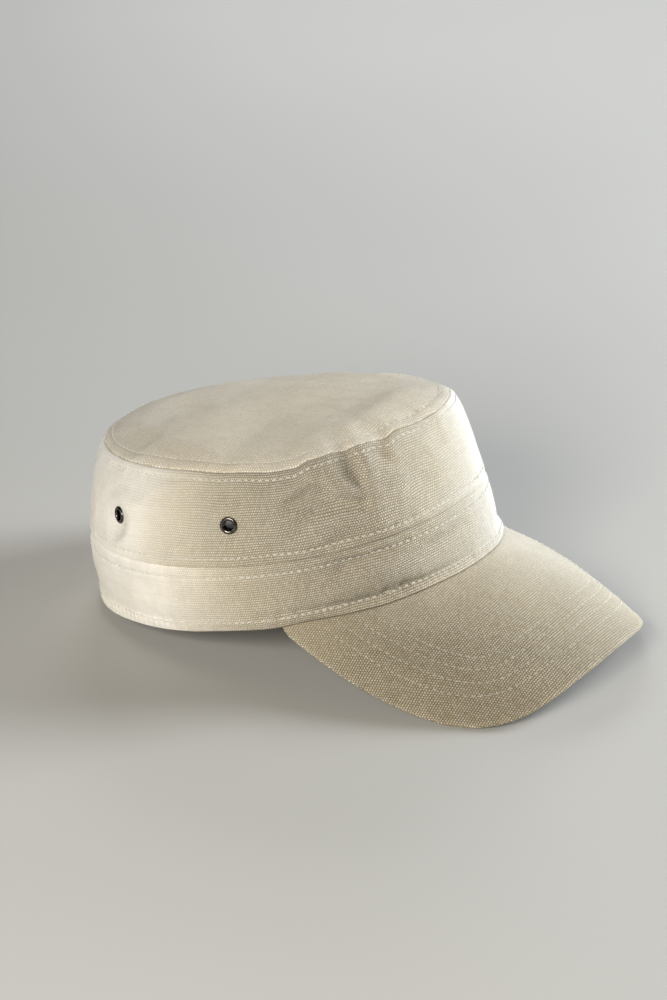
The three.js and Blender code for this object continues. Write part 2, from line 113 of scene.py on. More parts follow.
def band_fold(t, h):
    return 1.25 * LIMIT * np.tanh(folds(BAND_FOLDS, t, h, ROUND, 33.0, True) / (1.25 * LIMIT)) * np.minimum(1, (1 - h) / 0.15) * (0.2 + 0.8 * np.minimum(1, h / 0.17))


def ring(name, t):
    r = RINGS[name]
    c, s = np.cos(t * DEG), np.sin(t * DEG)
    k = (np.abs(c) ** r["power"] + np.abs(s) ** r["power"]) ** (-1 / r["power"])
    y = -r["length"] * c * k
    return np.stack([r["width"] * s * k * (1 + r["egg"] * y / r["length"]), y + r["shift"], r["level"] + r["slope"] * c + r["arch"] * c * c], -1)


def rim(t):
    p = ring("rim", t)
    p[..., 2] += wave(RIM_WAVE, t)
    return p


def seam(t):
    return ring("seam", t)


def top_seam(t):
    p = ring("top", t)
    p[..., 2] += wave(SEAM_WAVE, t)
    return p


def outward(t, curve=seam):
    d = curve(t + 0.01) - curve(t - 0.01)
    n = np.stack([d[..., 1], -d[..., 0], np.zeros_like(d[..., 0])], -1)
    n /= np.linalg.norm(n, axis=-1, keepdims=True)
    return n * np.sign((n * curve(t))[..., :2].sum(-1))[..., None]


def side(t, h, extra=0.0):
    c = np.cos(t * DEG)
    f, b = np.maximum(c, 0) ** 2, np.maximum(-c, 0) ** 2
    bulge = (BULGE["front"] * f + BULGE["back"] * b + BULGE["side"] * (1 - f - b)) * np.sin(np.pi * np.clip(h, 0, 1) ** BULGE["skew"]) ** BULGE["power"]
    a, e = seam(t), top_seam(t)
    return a + (e - a) * h[..., None] + outward(t) * (bulge + side_fold(t, h) + extra)[..., None]


def band(t, h, extra=0.0):
    a, e = rim(t), seam(t)
    mm = h * 33
    roll = (1.1 - 0.8 * np.maximum(np.cos(t * DEG), 0) ** 2) * np.sin(np.pi * np.clip((mm - HEM["height"]) / (33 - HEM["height"]), 0, 1))
    hem = HEM["proud"] * np.clip((HEM["height"] + 0.8 - mm) / 0.8, 0, 1)
    return a + (e - a) * h[..., None] + outward(t) * (roll + hem + band_fold(t, h) + extra)[..., None]


def top(t, out):
    near = np.exp(-(((t - DOME["front_at"] + 180) % 360 - 180) / DOME["front_width"]) ** 2)
    by = np.exp(-(((t - DOME["side_at"] + 180) % 360 - 180) / DOME["side_width"]) ** 2)
    roundness = DOME["roundness"] + (DOME["front"] - DOME["roundness"]) * near + (DOME["side"] - DOME["roundness"]) * by * (1 - near)
    s, zc = ring("top", t), RINGS["top"]["level"] + 1.2
    x, y = s[..., 0] * out, RINGS["top"]["shift"] + (s[..., 1] - RINGS["top"]["shift"]) * out
    z = zc + (s[..., 2] - zc) * out * out + DOME["rise"] * (1 - out ** roundness) + wave(SEAM_WAVE, t) * out ** SEAM_WAVE_FADE
    return np.stack([x, y, z + folds(TOP_FOLDS, x, y, 1, 1, False)], -1)


def peak_ray(t):
    r = np.abs(t / PEAK["half"])
    p = rim(t)
    dip = (PEAK["pitch"] + PEAK["pitch_side"] * r ** PEAK["side_power"]) * DEG
    reach = PEAK["length"] * np.maximum(1 - r ** PEAK["outline"], 0) ** (1 / PEAK["corner"]) * (1 + PEAK["side_gain"] * r * r)
    d = np.stack([PEAK["flare"] * p[..., 0] / RINGS["rim"]["width"] * np.cos(dip), -np.cos(dip), -np.sin(dip)], -1)
    return p, d / np.linalg.norm(d, axis=-1, keepdims=True), reach


def peak(t, out):
    p, d, reach = peak_ray(t)
    return p + d * (reach * out)[..., None]


def settle(p, press=True):
    c, s = np.cos(TILT * DEG), np.sin(TILT * DEG)
    q = np.stack([p[..., 0] + CENTRE[0], p[..., 1] * c + p[..., 2] * s + CENTRE[1], -p[..., 1] * s + p[..., 2] * c + LIFT], -1)
    if press:
        q[..., 2] = np.where(q[..., 2] < PRESS, 0.0, q[..., 2])
    return q


# ------------------------------------------------------------------ sewn detail
rng = np.random.default_rng(20)
STITCH = dict(pitch=3.5, length=2.40, wide=0.30, high=0.24)
GAP_SHOWN = 0.08
THREAD = 0.59                # spacing of the canvas's upright threads


def smooth(x):
    k = np.clip(x, 0, 1)
    return k * k * (3 - 2 * k)


def unit(v):
    return v / np.linalg.norm(v, axis=-1, keepdims=True)


def wave_set(count, length, spread=0.35):
    k = unit(rng.normal(size=(count, 3))) * (2 * np.pi / (length * rng.uniform(1 - spread, 1 + spread, (count, 1))))
    return k, rng.uniform(0, 2 * np.pi, count)


def ripple(p, waves):
    k, phase = waves
    return np.sin(p @ k.T + phase).sum(-1) / np.sqrt(len(phase) / 2)


def line_noise(x, total, low, high, count):
    """Smooth noise along a closed line of length total, with wavelengths from low to high."""
    n = np.rint(total / rng.uniform(low, high, count))
    ph = rng.uniform(0, 2 * np.pi, count)
    a = rng.uniform(0.5, 1, count)
    s = sum(ai * np.sin(2 * np.pi * ni * x / total + pi) for ai, ni, pi in zip(a, n, ph))
    return s / np.sqrt((a * a).sum() / 2)


SOFT = wave_set(22, 34.0)
FINE = wave_set(26, 9.0)
TINY = wave_set(30, 3.6)


def softness(p):
    return 0.20 * ripple(p, SOFT) + 0.055 * ripple(p, FINE) + 0.018 * ripple(p, TINY)


def pulled(s, r):
    """How far a turned-in edge of radius r lies under the surface, at distance s from the seam."""
    k = np.clip(r - s, 0, r)
    return r - np.sqrt(np.maximum(r * r - k * k, 0))


def edge_rows(r):
    return [0.0, 0.04 * r, 0.14 * r, 0.32 * r, 0.6 * r, r]


def rows_between(a, b, step):
    n = max(int(round((b - a) / step)), 1)
    return [a + (b - a) * i / n for i in range(1, n)]


def grid_normals(P, wrap, towards):
    if wrap:
        dt = np.roll(P, -1, 1) - np.roll(P, 1, 1)
    else:
        dt = np.gradient(P, axis=1)
    n = unit(np.cross(dt, np.gradient(P, axis=0)))
    return n * np.sign((n * towards).sum(-1).mean())


def along(P, closed):
    """Distance along a line of points, with the closing step at its end if closed."""
    Q = np.vstack([P, P[:1]]) if closed else P
    return np.concatenate([[0], np.cumsum(np.linalg.norm(np.diff(Q, axis=0), axis=1))])


def stitch_dimple(x, pitch, half):
    """1 at a stitch's ends and in the short gap between two stitches, 0 under a stitch."""
    k = np.abs((x / pitch) % 1 - 0.5) * pitch          # 0 in the gap between stitches, since stitches are centred on whole pitches
    return np.exp(-(k / half) ** 2)


def sewn(x, s, total, at, depth=0.20, width=0.65, puff_from=0.0, puff=0.0):
    """Depth of a row of stitches, at distance s from the seam, and of the puffed cloth between it and the seam."""
    n = max(round(total / STITCH["pitch"]), 1)
    pitch = total / n
    d = -depth * np.exp(-((s - at) / width) ** 2) - 0.24 * stitch_dimple(x, pitch, 0.55) * np.exp(-((s - at) / 0.6) ** 2)
    if puff:
        d = d + puff * np.sin(np.pi * np.clip((s - puff_from) / (at - puff_from), 0, 1)) ** 0.8
    return d


# ------------------------------------------------------------------ meshes
def make_object(name, data, body="root"):
    o = bpy.data.objects.new(name, data)
    bpy.context.scene.collection.objects.link(o)
    return o


def mesh_from(name, points, faces, uvs, wear=None):
    """A smooth mesh from points in metres, faces as rows of vertex numbers (-1 for none), and a UV in millimetres for each corner."""
    P = np.asarray(points, float)
    v0, v1, v2 = P[faces[:, 0]], P[faces[:, 1]], P[faces[:, 2]]
    vol = np.einsum("ij,ij->i", v0, np.cross(v1, v2)).sum()
    quad = faces[:, 3] >= 0
    q = faces[quad]
    vol += np.einsum("ij,ij->i", P[q[:, 0]], np.cross(P[q[:, 2]], P[q[:, 3]])).sum()
    if vol < 0:
        order = np.where(quad[:, None], np.array([3, 2, 1, 0]), np.array([2, 1, 0, 3]))
        faces = np.take_along_axis(faces, order, 1)
        uvs = np.take_along_axis(uvs, order[..., None], 1)
    size = np.where(quad, 4, 3)
    keep = faces >= 0
    me = bpy.data.meshes.new(name)
    me.vertices.add(len(P))
    me.vertices.foreach_set("co", P.astype(np.float32).ravel())
    me.loops.add(int(size.sum()))
    me.loops.foreach_set("vertex_index", faces[keep].astype(np.int32))
    me.polygons.add(len(faces))
    me.polygons.foreach_set("loop_start", np.concatenate([[0], np.cumsum(size)[:-1]]).astype(np.int32))
    me.polygons.foreach_set("use_smooth", np.ones(len(faces), bool))
    me.update(calc_edges=True)
    layer = me.uv_layers.new(name="cloth")
    layer.data.foreach_set("uv", uvs[keep].astype(np.float32).ravel())
    if wear is not None:
        a = me.attributes.new("wear", "FLOAT", "POINT")
        a.data.foreach_set("value", np.asarray(wear, np.float32))
    me.validate()
    me.update()
    return me


def band_faces(loops, n, wrap, closed):
    """Quads between the loops of a shell; the corners' loop and column numbers come back too, for the UVs."""
    m = len(loops)
    cols = n if wrap else n - 1
    r = np.arange(m if closed else m - 1)
    i = np.arange(cols)
    R, I = np.meshgrid(r, i, indexing="ij")
    R, I = R.ravel(), I.ravel()
    corner = np.stack([np.stack([R, I], -1), np.stack([R, I + 1], -1), np.stack([R + 1, I + 1], -1), np.stack([R + 1, I], -1)], 1)
    faces = (corner[..., 0] % m) * n + corner[..., 1] % n
    return faces, corner


def shell(name, loops, u, wrap, closed, wear=None, ends=()):
    """Mesh through loops of equal length. u is the UV's first number by column; the second is the distance across the loops.
    ends holds (which loop, centre point) pairs that are closed with a fan."""
    L = np.stack(loops)
    n = L.shape[1]
    faces, corner = band_faces(loops, n, wrap, closed)
    step = np.linalg.norm(np.diff(np.concatenate([L, L[:1]]), axis=0), axis=2)
    v = np.concatenate([np.zeros((1, n)), np.cumsum(step, 0)])
    v = np.repeat(v.mean(1, keepdims=True), n, 1)
    v = np.concatenate([v, v[:, :1]], 1)
    uvs = np.stack([u[corner[..., 1]], v[corner[..., 0], corner[..., 1]]], -1)
    points = L.reshape(-1, 3)
    w = None if wear is None else np.asarray(wear).ravel()
    for which, centre in ends:
        c = len(points)
        points = np.vstack([points, centre])
        i = np.arange(n if wrap else n - 1)
        row = (which % len(loops)) * n
        tri = np.stack([row + i, row + (i + 1) % n, np.full(len(i), c), np.full(len(i), -1)], 1)
        if which == 0:
            tri = tri[:, [1, 0, 2, 3]]
        faces = np.vstack([faces, tri])
        uvs = np.concatenate([uvs, np.zeros((len(i), 4, 2))])
        if w is not None:
            w = np.append(w, 0.0)
    return points, faces, uvs, w


def placed(P):
    """Cap frame to the row frame, in metres; where the cap lies on the surface its edge is pressed level."""
    q = settle(P, False)
    k = np.clip(q[..., 2] / 1.6, 0, 1)
    q[..., 2] = np.where(q[..., 2] < 1.6, 1.6 * (2 * k * k - k ** 3), q[..., 2])
    return q / 1000


def turned(v):
    """A direction from the cap frame to the row frame."""
    c, s = np.cos(TILT * DEG), np.sin(TILT * DEG)
    return np.stack([v[..., 0], v[..., 1] * c + v[..., 2] * s, -v[..., 1] * s + v[..., 2] * c], -1)
# ------------------------------------------------------------------ lamps: name, azimuth, elevation, distance, size, power, colour
WORLD = 0.02
LAMPS = [
    ("right", 42.0, 11.0, 1.6, 0.6, 13.0, (0.84, 0.92, 1.0)),
    ("back_right", 52.0, 26.0, 1.6, 0.6, 25.0, (0.93, 0.97, 1.0)),
    ("left", -138.0, 11.0, 1.6, 0.6, 3.2, (0.78, 0.89, 1.0)),
    ("front", -78.0, 26.0, 1.6, 0.6, 22.5, (1.0, 0.96, 0.88)),
    ("front_left", -98.0, 26.0, 1.6, 0.6, 3.0, (1.0, 0.85, 0.60)),
    ("back", 122.0, 26.0, 1.6, 0.6, 8.5, (0.96, 0.98, 1.0)),
]


# ------------------------------------------------------------------ side wall, top panel and the seam that joins them
COLUMNS = 800
TC = -180 + 360 * np.arange(COLUMNS) / COLUMNS
TOP_COLUMNS = 720
TT = -180 + 360 * np.arange(TOP_COLUMNS) / TOP_COLUMNS


def crease(t):
    """How far the creases that cross the top seam carry it inward and down."""
    s = ring("top", t)
    return 0.6 * side_fold(t, np.ones_like(t)), 0.8 * folds(TOP_FOLDS, s[..., 0], s[..., 1], 1, 1, False)


def side_base(t, h):
    f1, z1 = crease(t)
    p = side(t, h)
    f_end = side_fold(t, np.ones_like(t))
    p = p + outward(t) * ((f1 - f_end) * smooth((h - 0.88) / 0.12))[..., None]
    return p + UP * (z1 * smooth((h - 0.7) / 0.3))[..., None]


def top_base(t, out):
    f1, z1 = crease(t)
    p = top(t, out)
    s = ring("top", t)
    z_end = folds(TOP_FOLDS, s[..., 0], s[..., 1], 1, 1, False)
    k = smooth((out - 0.86) / 0.14)
    return p + outward(t, top_seam) * (f1 * k)[..., None] + UP * ((z1 - z_end) * k)[..., None]


def seam_joint(t):
    s = side_base(t, np.ones_like(t))
    a = side_base(t + 0.6, np.full_like(t, 0.95)) - side_base(t - 0.6, np.full_like(t, 0.95))
    b = side_base(t, np.full_like(t, 0.99)) - side_base(t, np.full_like(t, 0.9))
    ns = unit(np.cross(a, b))
    ns *= np.sign((ns * outward(t)).sum(-1))[..., None]
    a = top_base(t + 0.6, np.full_like(t, 0.985)) - top_base(t - 0.6, np.full_like(t, 0.985))
    b = top_base(t, np.full_like(t, 0.998)) - top_base(t, np.full_like(t, 0.97))
    nt = unit(np.cross(a, b))
    nt *= np.sign(nt[..., 2])[..., None]
    m = unit(ns + nt)
    over = top_base(t, np.full_like(t, 0.97)) - s
    across = unit(over - m * (over * m).sum(-1, keepdims=True))
    return s, m, across, WALL["side"] / (m * ns).sum(-1)


def eyelet_places():
    """Centre, outward normal and name of each eyelet, in the cap's own frame."""
    found = []
    c, s = math.cos(TILT * DEG), math.sin(TILT * DEG)
    for name, seat, azimuth, elevation in EYELET_SEATS:
        a, e = azimuth * DEG, elevation * DEG
        w = np.array([math.sin(a) * math.cos(e), -math.cos(a) * math.cos(e), math.sin(e)])
        found.append((name, np.array(seat), np.array([w[0], w[1] * c - w[2] * s, w[1] * s + w[2] * c])))
    return found


EYELET_AT = eyelet_places()


def squared(P):
    """The wall drawn flat, square to each eyelet's axis, close round it."""
    out = P.copy()
    for _, c, n in EYELET_AT:
        v = P - c
        off = v @ n
        r = np.linalg.norm(v - off[..., None] * n, axis=-1)
        k = smooth((14.5 - r) / 9.5) * (np.abs(off) < 12)
        out = out - n * (off * k)[..., None]
    return out


def clamped(P):
    """1 over most of the wall, falling to 0 where an eyelet clamps the cloth, and the dimple that it presses."""
    keep, dimple = np.ones(P.shape[:-1]), np.zeros(P.shape[:-1])
    for _, c, n in EYELET_AT:
        r = np.linalg.norm(P - c, axis=-1)
        keep = np.minimum(keep, smooth((r - 4.5) / 6))
        dimple += -0.30 * np.exp(-(np.maximum(r - 3.9, 0) / 2.2) ** 2)
    return keep, dimple


# side wall
t = TC
edge_s, edge_m, edge_across, edge_deep = seam_joint(t)
tall = np.linalg.norm(top_seam(t) - seam(t), axis=1)
R = 0.58
low = edge_rows(R)
rows_mm = low + [R + 0.45] + rows_between(R + 0.45, 39.0, 0.60)
h_rows = [s / 39.5 for s in rows_mm if s < 38.6 - R - 0.2]
h_rows = h_rows + [1 - (s + 0.45) / 39.5 for s in [R]] + [1 - s / 39.5 for s in reversed(low)]
H = np.array(sorted(set(h_rows)))
TG, HG = np.meshgrid(t, H, indexing="xy")
P = squared(side_base(TG, HG))
N = grid_normals(P, True, outward(TG))
TALL = tall[None, :]
s_low, s_high = HG * TALL, (1 - HG) * TALL
x_low, x_high = along(P[int(0.12 * len(H))], True), along(P[int(0.93 * len(H))], True)
SIDE_LOW, SIDE_HIGH = 4.4, 3.0
X_low, X_high = x_low[:-1][None, :], x_high[:-1][None, :]
hold, dimple = clamped(P)
gather = (0.30 + 0.70 * smooth(1 - np.abs(TG + 22) / 62) + 0.25 * smooth(1 - np.abs(np.abs(TG) - 160) / 40))
pucker_x = gather * line_noise(X_high, x_high[-1], 6.0, 15.0, 9) * (0.55 + 0.45 * line_noise(X_high, x_high[-1], 30.0, 70.0, 4))
pucker_low = 0.6 * gather * line_noise(X_low, x_low[-1], 6.0, 15.0, 9) * (0.55 + 0.45 * line_noise(X_low, x_low[-1], 30.0, 70.0, 4))
d = softness(P) * smooth(np.minimum(s_low, s_high) / 3) * hold + dimple
d = d + sewn(X_high, s_high, x_high[-1], SIDE_HIGH, depth=0.18, puff=0.16, puff_from=0.4)
d = d + sewn(X_low, s_low, x_low[-1], SIDE_LOW, depth=0.20, puff=0.22, puff_from=0.4)
d = d + 0.26 * pucker_x * np.exp(-np.abs(s_high - SIDE_HIGH) / 3.2) * smooth(s_high / 2)
d = d + 0.20 * pucker_low * np.exp(-np.abs(s_low - SIDE_LOW) / 3.2) * smooth(s_low / 2)
P = P + N * d[..., None]
P = P - edge_m[None] * pulled(s_high, R)[..., None] - outward(t)[None] * pulled(s_low, R)[..., None]
P = P - edge_across[None] * (GAP_SHOWN / 2 * smooth(1 - s_high / 1.2))[..., None] + UP * (GAP_SHOWN / 2 * smooth(1 - s_low / 1.2))[..., None]
SIDE_OUTER, SIDE_NORMAL, SIDE_H = P, N, H
inner_h = [0.965, 0.93, 0.86, 0.78, 0.69, 0.6, 0.5, 0.4, 0.3, 0.2, 0.12, 0.06]
IG = np.array(inner_h)
TG2, HG2 = np.meshgrid(t, IG, indexing="xy")
Q = squared(side_base(TG2, HG2))
Q = Q - grid_normals(Q, True, outward(TG2)) * WALL["side"]
n0 = outward(t)
foot = P[0] * 1.0
head_in = edge_s - edge_across * GAP_SHOWN / 2 - edge_m * edge_deep[:, None]
loops = list(P) + [P[-1] * 0.5 + head_in * 0.5, head_in] + list(Q) + [foot - n0 * (WALL["side"] - R), foot - n0 * (WALL["side"] - R) * 0.5]
wear_rows = 0.55 * np.exp(-(s_high / 0.9) ** 2) + 0.45 * np.exp(-(s_low / 0.9) ** 2) + 0.25 * smooth(d / 0.5)
wear = np.concatenate([wear_rows, np.zeros((len(loops) - len(P), COLUMNS))])
u_side = along(P[len(H) // 2], True)
SIDE_GIRTH = u_side[-1]
side_scale = 2 * THREAD * round(SIDE_GIRTH / (2 * THREAD)) / SIDE_GIRTH
points, faces, uvs, w = shell("side", [l for l in loops], u_side * side_scale, True, True, wear)
side_mesh = mesh_from("crown_side_cloth", placed(points), faces, uvs, w)
crown = make_object("crown_side_cloth", side_mesh)

# top panel
t = TT
top_s, top_m, top_across, top_deep = seam_joint(t)
reach = np.linalg.norm((ring("top", t) - [0, RINGS["top"]["shift"], 0])[:, :2], axis=1)
near = edge_rows(R) + [R + 0.45] + rows_between(R + 0.45, 11.0, 0.55)
far = [11.0 + (1 - (1 - k) ** 1.25) * 1.0 for k in np.linspace(0, 1, 61)[:-1]]
k_far = np.array([1 - (f - 11.0) for f in far])                 # from 1 at 11 mm inside the seam towards 0 at the middle
out_near = 1 - np.array(near)[:, None] / reach[None]
out_far = k_far[:, None] * (1 - 11.0 / reach[None])
OUT = np.vstack([out_near, out_far])
TG = np.repeat(t[None], len(OUT), 0)
P = top_base(TG, OUT)
N = grid_normals(P, True, UP)
s_edge = (1 - OUT) * reach[None]
row = int(np.argmin(np.abs(np.array(near) - 4.7)))
x_top = along(P[row], True)
X = x_top[:-1][None, :]
TOP_ROW = 4.7
pucker = (0.30 + 0.70 * smooth(1 - np.abs(TG + 22) / 62)) * line_noise(X, x_top[-1], 6.5, 16.0, 9) * (0.55 + 0.45 * line_noise(X, x_top[-1], 30.0, 70.0, 4))
d = softness(P) * smooth(s_edge / 3)
d = d + sewn(X, s_edge, x_top[-1], TOP_ROW, depth=0.20, puff=0.20, puff_from=0.4)
d = d + 0.24 * pucker * np.exp(-np.abs(s_edge - TOP_ROW) / 3.6) * smooth(s_edge / 2)
P = P + N * d[..., None]
P = P - top_m[None] * pulled(s_edge, R)[..., None] + top_across[None] * (GAP_SHOWN / 2 * smooth(1 - s_edge / 1.2))[..., None]
TOP_OUTER, TOP_NORMAL = P, N
under = np.array([0.955, 0.91, 0.84, 0.74, 0.6, 0.44, 0.28, 0.14])
TG2, OG2 = np.meshgrid(t, under, indexing="xy")
Q = top_base(TG2, OG2)
Q = Q - grid_normals(Q, True, UP) * WALL["top"]
head_in = top_s + top_across * GAP_SHOWN / 2 - top_m * top_deep[:, None]
centre = top_base(np.array([0.0]), np.array([0.0]))[0]
centre_d = (softness(centre[None]))[0]
loops = list(P[::-1])                                            # from the middle outward, then under and back to the middle
loops = loops + [P[0] * 0.5 + head_in * 0.5, head_in] + list(Q)
wear_rows = 0.55 * np.exp(-(s_edge / 0.9) ** 2) + 0.25 * smooth(d / 0.5)
wear = np.concatenate([wear_rows[::-1], np.zeros((len(loops) - len(P), TOP_COLUMNS))])
points, faces, uvs, w = shell("top", loops, np.zeros(TOP_COLUMNS + 1), True, False, wear, ends=[(0, centre + UP * centre_d), (-1, centre - UP * WALL["top"])])
uvs = points[np.maximum(faces, 0)][..., :2]                      # the panel is cut flat, so its weave runs straight across it
top_mesh = mesh_from("top_panel_cloth", placed(points), faces, uvs, w)
top_piece = make_object("top_panel_cloth", top_mesh)

# ------------------------------------------------------------------ band
t = TC
EDGE_R = 1.25
low_b = edge_rows(EDGE_R)
rows_mm = low_b + [EDGE_R + 0.4] + rows_between(EDGE_R + 0.4, 33 - R - 0.45, 0.52)
H = np.array([s / 33 for s in rows_mm] + [1 - (R + 0.45) / 33] + [1 - s / 33 for s in reversed(edge_rows(R))])
TG, HG = np.meshgrid(t, H, indexing="xy")
P = band(TG, HG)
N = grid_normals(P, True, outward(TG))
s_low, s_high = HG * 33, (1 - HG) * 33
HEM_ROW, BAND_ROW = 4.9, 5.2
x_hem, x_band = along(P[int(np.argmin(np.abs(H * 33 - HEM_ROW)))], True), along(P[int(np.argmin(np.abs((1 - H) * 33 - BAND_ROW)))], True)
XH, XB = x_hem[:-1][None, :], x_band[:-1][None, :]
pucker_hem = 0.7 * line_noise(XH, x_hem[-1], 6.0, 15.0, 9) * (0.55 + 0.45 * line_noise(XH, x_hem[-1], 30.0, 70.0, 4))
pucker_band = 0.45 * line_noise(XB, x_band[-1], 6.5, 16.0, 9) * (0.55 + 0.45 * line_noise(XB, x_band[-1], 30.0, 70.0, 4))
d = softness(P) * smooth(np.minimum(s_low, s_high) / 3)
d = d + sewn(XH, s_low, x_hem[-1], HEM_ROW, depth=0.22)
hem_pitch = x_hem[-1] / round(x_hem[-1] / STITCH["pitch"])
d = d + 0.27 * np.cos(2 * np.pi * XH / hem_pitch) * np.exp(-((s_low - 3.6) / 1.9) ** 2)
d = d + sewn(XB, s_high, x_band[-1], BAND_ROW, depth=0.20, puff=0.20, puff_from=0.4)
d = d + 0.34 * pucker_hem * np.exp(-np.abs(s_low - 6.4) / 3.0) * smooth(s_low / 2)
d = d + 0.22 * pucker_band * np.exp(-np.abs(s_high - BAND_ROW) / 3.4) * smooth(s_high / 2)
P = P + N * d[..., None]
n_seam, n_rim = outward(t), outward(t, rim)
P = P - n_seam[None] * (0.40 * smooth(1 - s_high / 2.4))[..., None]           # drawn in under the side wall
P = P - n_rim[None] * pulled(s_low, EDGE_R)[..., None] - n_seam[None] * pulled(s_high, R)[..., None] - UP * (GAP_SHOWN / 2 * smooth(1 - s_high / 1.2))[..., None]
BAND_OUTER, BAND_NORMAL, BAND_H = P, N, H
thick = WALL["band"]
inner_h = [0.985, 0.95, 0.88, 0.78, 0.66, 0.54, 0.42, 0.31, 0.21, 0.13, 0.07, 0.035]
TG2, IG2 = np.meshgrid(t, np.array(inner_h), indexing="xy")
Q = rim(TG2) + (seam(TG2) - rim(TG2)) * IG2[..., None] - outward(TG2, rim) * thick
Q = Q + outward(TG2, rim) * (0.5 * pulled(IG2 * 33, 1.2))[..., None]
head = P[-1]
foot = P[0]
loops = list(P) + [head - n_seam * (thick - R) * 0.5, head - n_seam * (thick - R)] + list(Q) + [foot - n_rim * (thick - EDGE_R) * 0.85, foot - n_rim * (thick - EDGE_R) * 0.4]
wear_rows = 0.85 * np.exp(-(s_low / 1.4) ** 2) + 0.45 * np.exp(-(s_high / 0.9) ** 2) + 0.25 * smooth(d / 0.5) + 0.3 * np.exp(-((s_low - 5.6) / 0.7) ** 2)
wear = np.concatenate([wear_rows, np.zeros((len(loops) - len(P), COLUMNS))])
wear[-1] = 0.6
u_band = along(P[len(H) // 2], True)
band_scale = 2 * THREAD * round(u_band[-1] / (2 * THREAD)) / u_band[-1]
points, faces, uvs, w = shell("band", loops, u_band * band_scale, True, True, wear)
band_mesh = mesh_from("band_cloth", placed(points), faces, uvs, w)
band_piece = make_object("band_cloth", band_mesh)

# ------------------------------------------------------------------ peak
PEAK_COLUMNS = 430
half = PEAK["end"]
tp = half * np.sin(np.linspace(-1, 1, PEAK_COLUMNS) * np.pi / 2 * 0.93) / math.sin(np.pi / 2 * 0.93)     # closer together at the corners
TP = tp
root, ray, length = peak_ray(tp)
# the peak unrolled: each ray is laid out flat next to the one before
flat_root, flat_ray = [np.zeros(2)], [np.array([0.0, -1.0])]
for i in range(1, PEAK_COLUMNS):
    a, b, tip = root[i - 1], root[i], root[i - 1] + ray[i - 1] * 60
    e = np.linalg.norm(b - a)
    ca = float(np.dot(b - a, ray[i - 1])) / e
    d0, r0 = flat_ray[-1], flat_root[-1]
    side_dir = np.array([-d0[1], d0[0]])
    new_root = r0 + e * (ca * d0 + math.sqrt(max(1 - ca * ca, 0)) * side_dir)
    cb = float(np.dot(ray[i], ray[i - 1]))
    turn = math.acos(min(1, cb)) * np.sign(np.dot(np.cross(ray[i - 1], ray[i]), UP))
    c, s = math.cos(turn), math.sin(turn)
    flat_root.append(new_root)
    flat_ray.append(np.array([c * d0[0] - s * d0[1], s * d0[0] + c * d0[1]]))
flat_root, flat_ray = np.array(flat_root), np.array(flat_ray)
m = flat_ray[PEAK_COLUMNS // 2]
level = np.array([[-m[1], m[0]], [-m[0], -m[1]]])        # turned so that the middle of the peak points straight down
flat_root, flat_ray = flat_root @ level.T, flat_ray @ level.T
flat_edge = flat_root + flat_ray * length[:, None]
rows_mm = [0, 0.1, 0.3, 0.6, 1.0, 1.5] + list(np.arange(2.0, 35.0, 0.5))
K = np.array(rows_mm)
OUT = []
for L in length:                         # rows at fixed distances from the outer edge, then evenly on to the band
    reach_near = min(36.0, 0.72 * L)
    k = K * reach_near / K[-1]
    rest = np.linspace(reach_near, L, 42)[1:]
    OUT.append(np.concatenate([k, rest]) / max(L, 1e-6))
OUT = 1 - np.array(OUT).T                # rows by columns: 1 at the outer edge and 0 at the band
OUT = OUT[::-1]
TG = np.repeat(tp[None], len(OUT), 0)
P = root[None] + ray[None] * (length[None] * OUT)[..., None]
P = P - UP * GAP
N = grid_normals(P, False, UP)
sag = 3.7 * np.minimum(length / 74.0, 1.15) ** 2         # the peak is a little fuller than straight rays
P = P + N * (sag[None] * np.sin(np.pi * OUT))[..., None]
N = grid_normals(P, False, UP)
F = flat_root[None] + flat_ray[None] * (length[None] * OUT)[..., None]


def edge_distance(points):
    """Distance in the flat peak from points to its outer edge."""
    a, b = flat_edge[:-1], flat_edge[1:]
    ab = b - a
    best = np.full(len(points), 1e9)
    for start in range(0, len(points), 4000):
        q = points[start:start + 4000, None, :]
        k = np.clip(((q - a) * ab).sum(-1) / np.maximum((ab * ab).sum(-1), 1e-9), 0, 1)
        best[start:start + 4000] = np.linalg.norm(q - (a + ab * k[..., None]), axis=-1).min(1)
    return best


s_out = edge_distance(F.reshape(-1, 2)).reshape(F.shape[:2])
PEAK_ROWS = [13.0, 19.0, 25.0, 31.0]
PEAK_LINES = []
d = softness(P) * 0.55 * smooth(s_out / 3)
for at in PEAK_ROWS:
    cols, outs = [], []
    for i in range(PEAK_COLUMNS):
        col = s_out[:, i]                # falls towards the outer edge
        over = np.where(col > at)[0]
        if len(over) and over[-1] + 1 < len(col):
            j = over[-1]
            k = (col[j] - at) / (col[j] - col[j + 1])
            cols.append(i)
            outs.append(j + k)
    PEAK_LINES.append((np.array(cols), np.array(outs)))
    d = d - 0.16 * np.exp(-((s_out - at) / 0.9) ** 2)
for a, b in zip(PEAK_ROWS, PEAK_ROWS[1:]):
    k = np.clip((s_out - a) / (b - a), 0, 1)
    d = d + 0.07 * np.sin(np.pi * k) * ((s_out > a) & (s_out < b))
LIP = 1.15
d = d + 0.22 * np.exp(-((s_out - 1.9) / 1.1) ** 2)           # the turned edge stands a little full
d = d - 0.10 * np.exp(-((s_out - 4.2) / 0.7) ** 2)
P = P + N * d[..., None] * smooth(OUT * length[None] / 1.5)[..., None]
thick = PEAK["thick"]
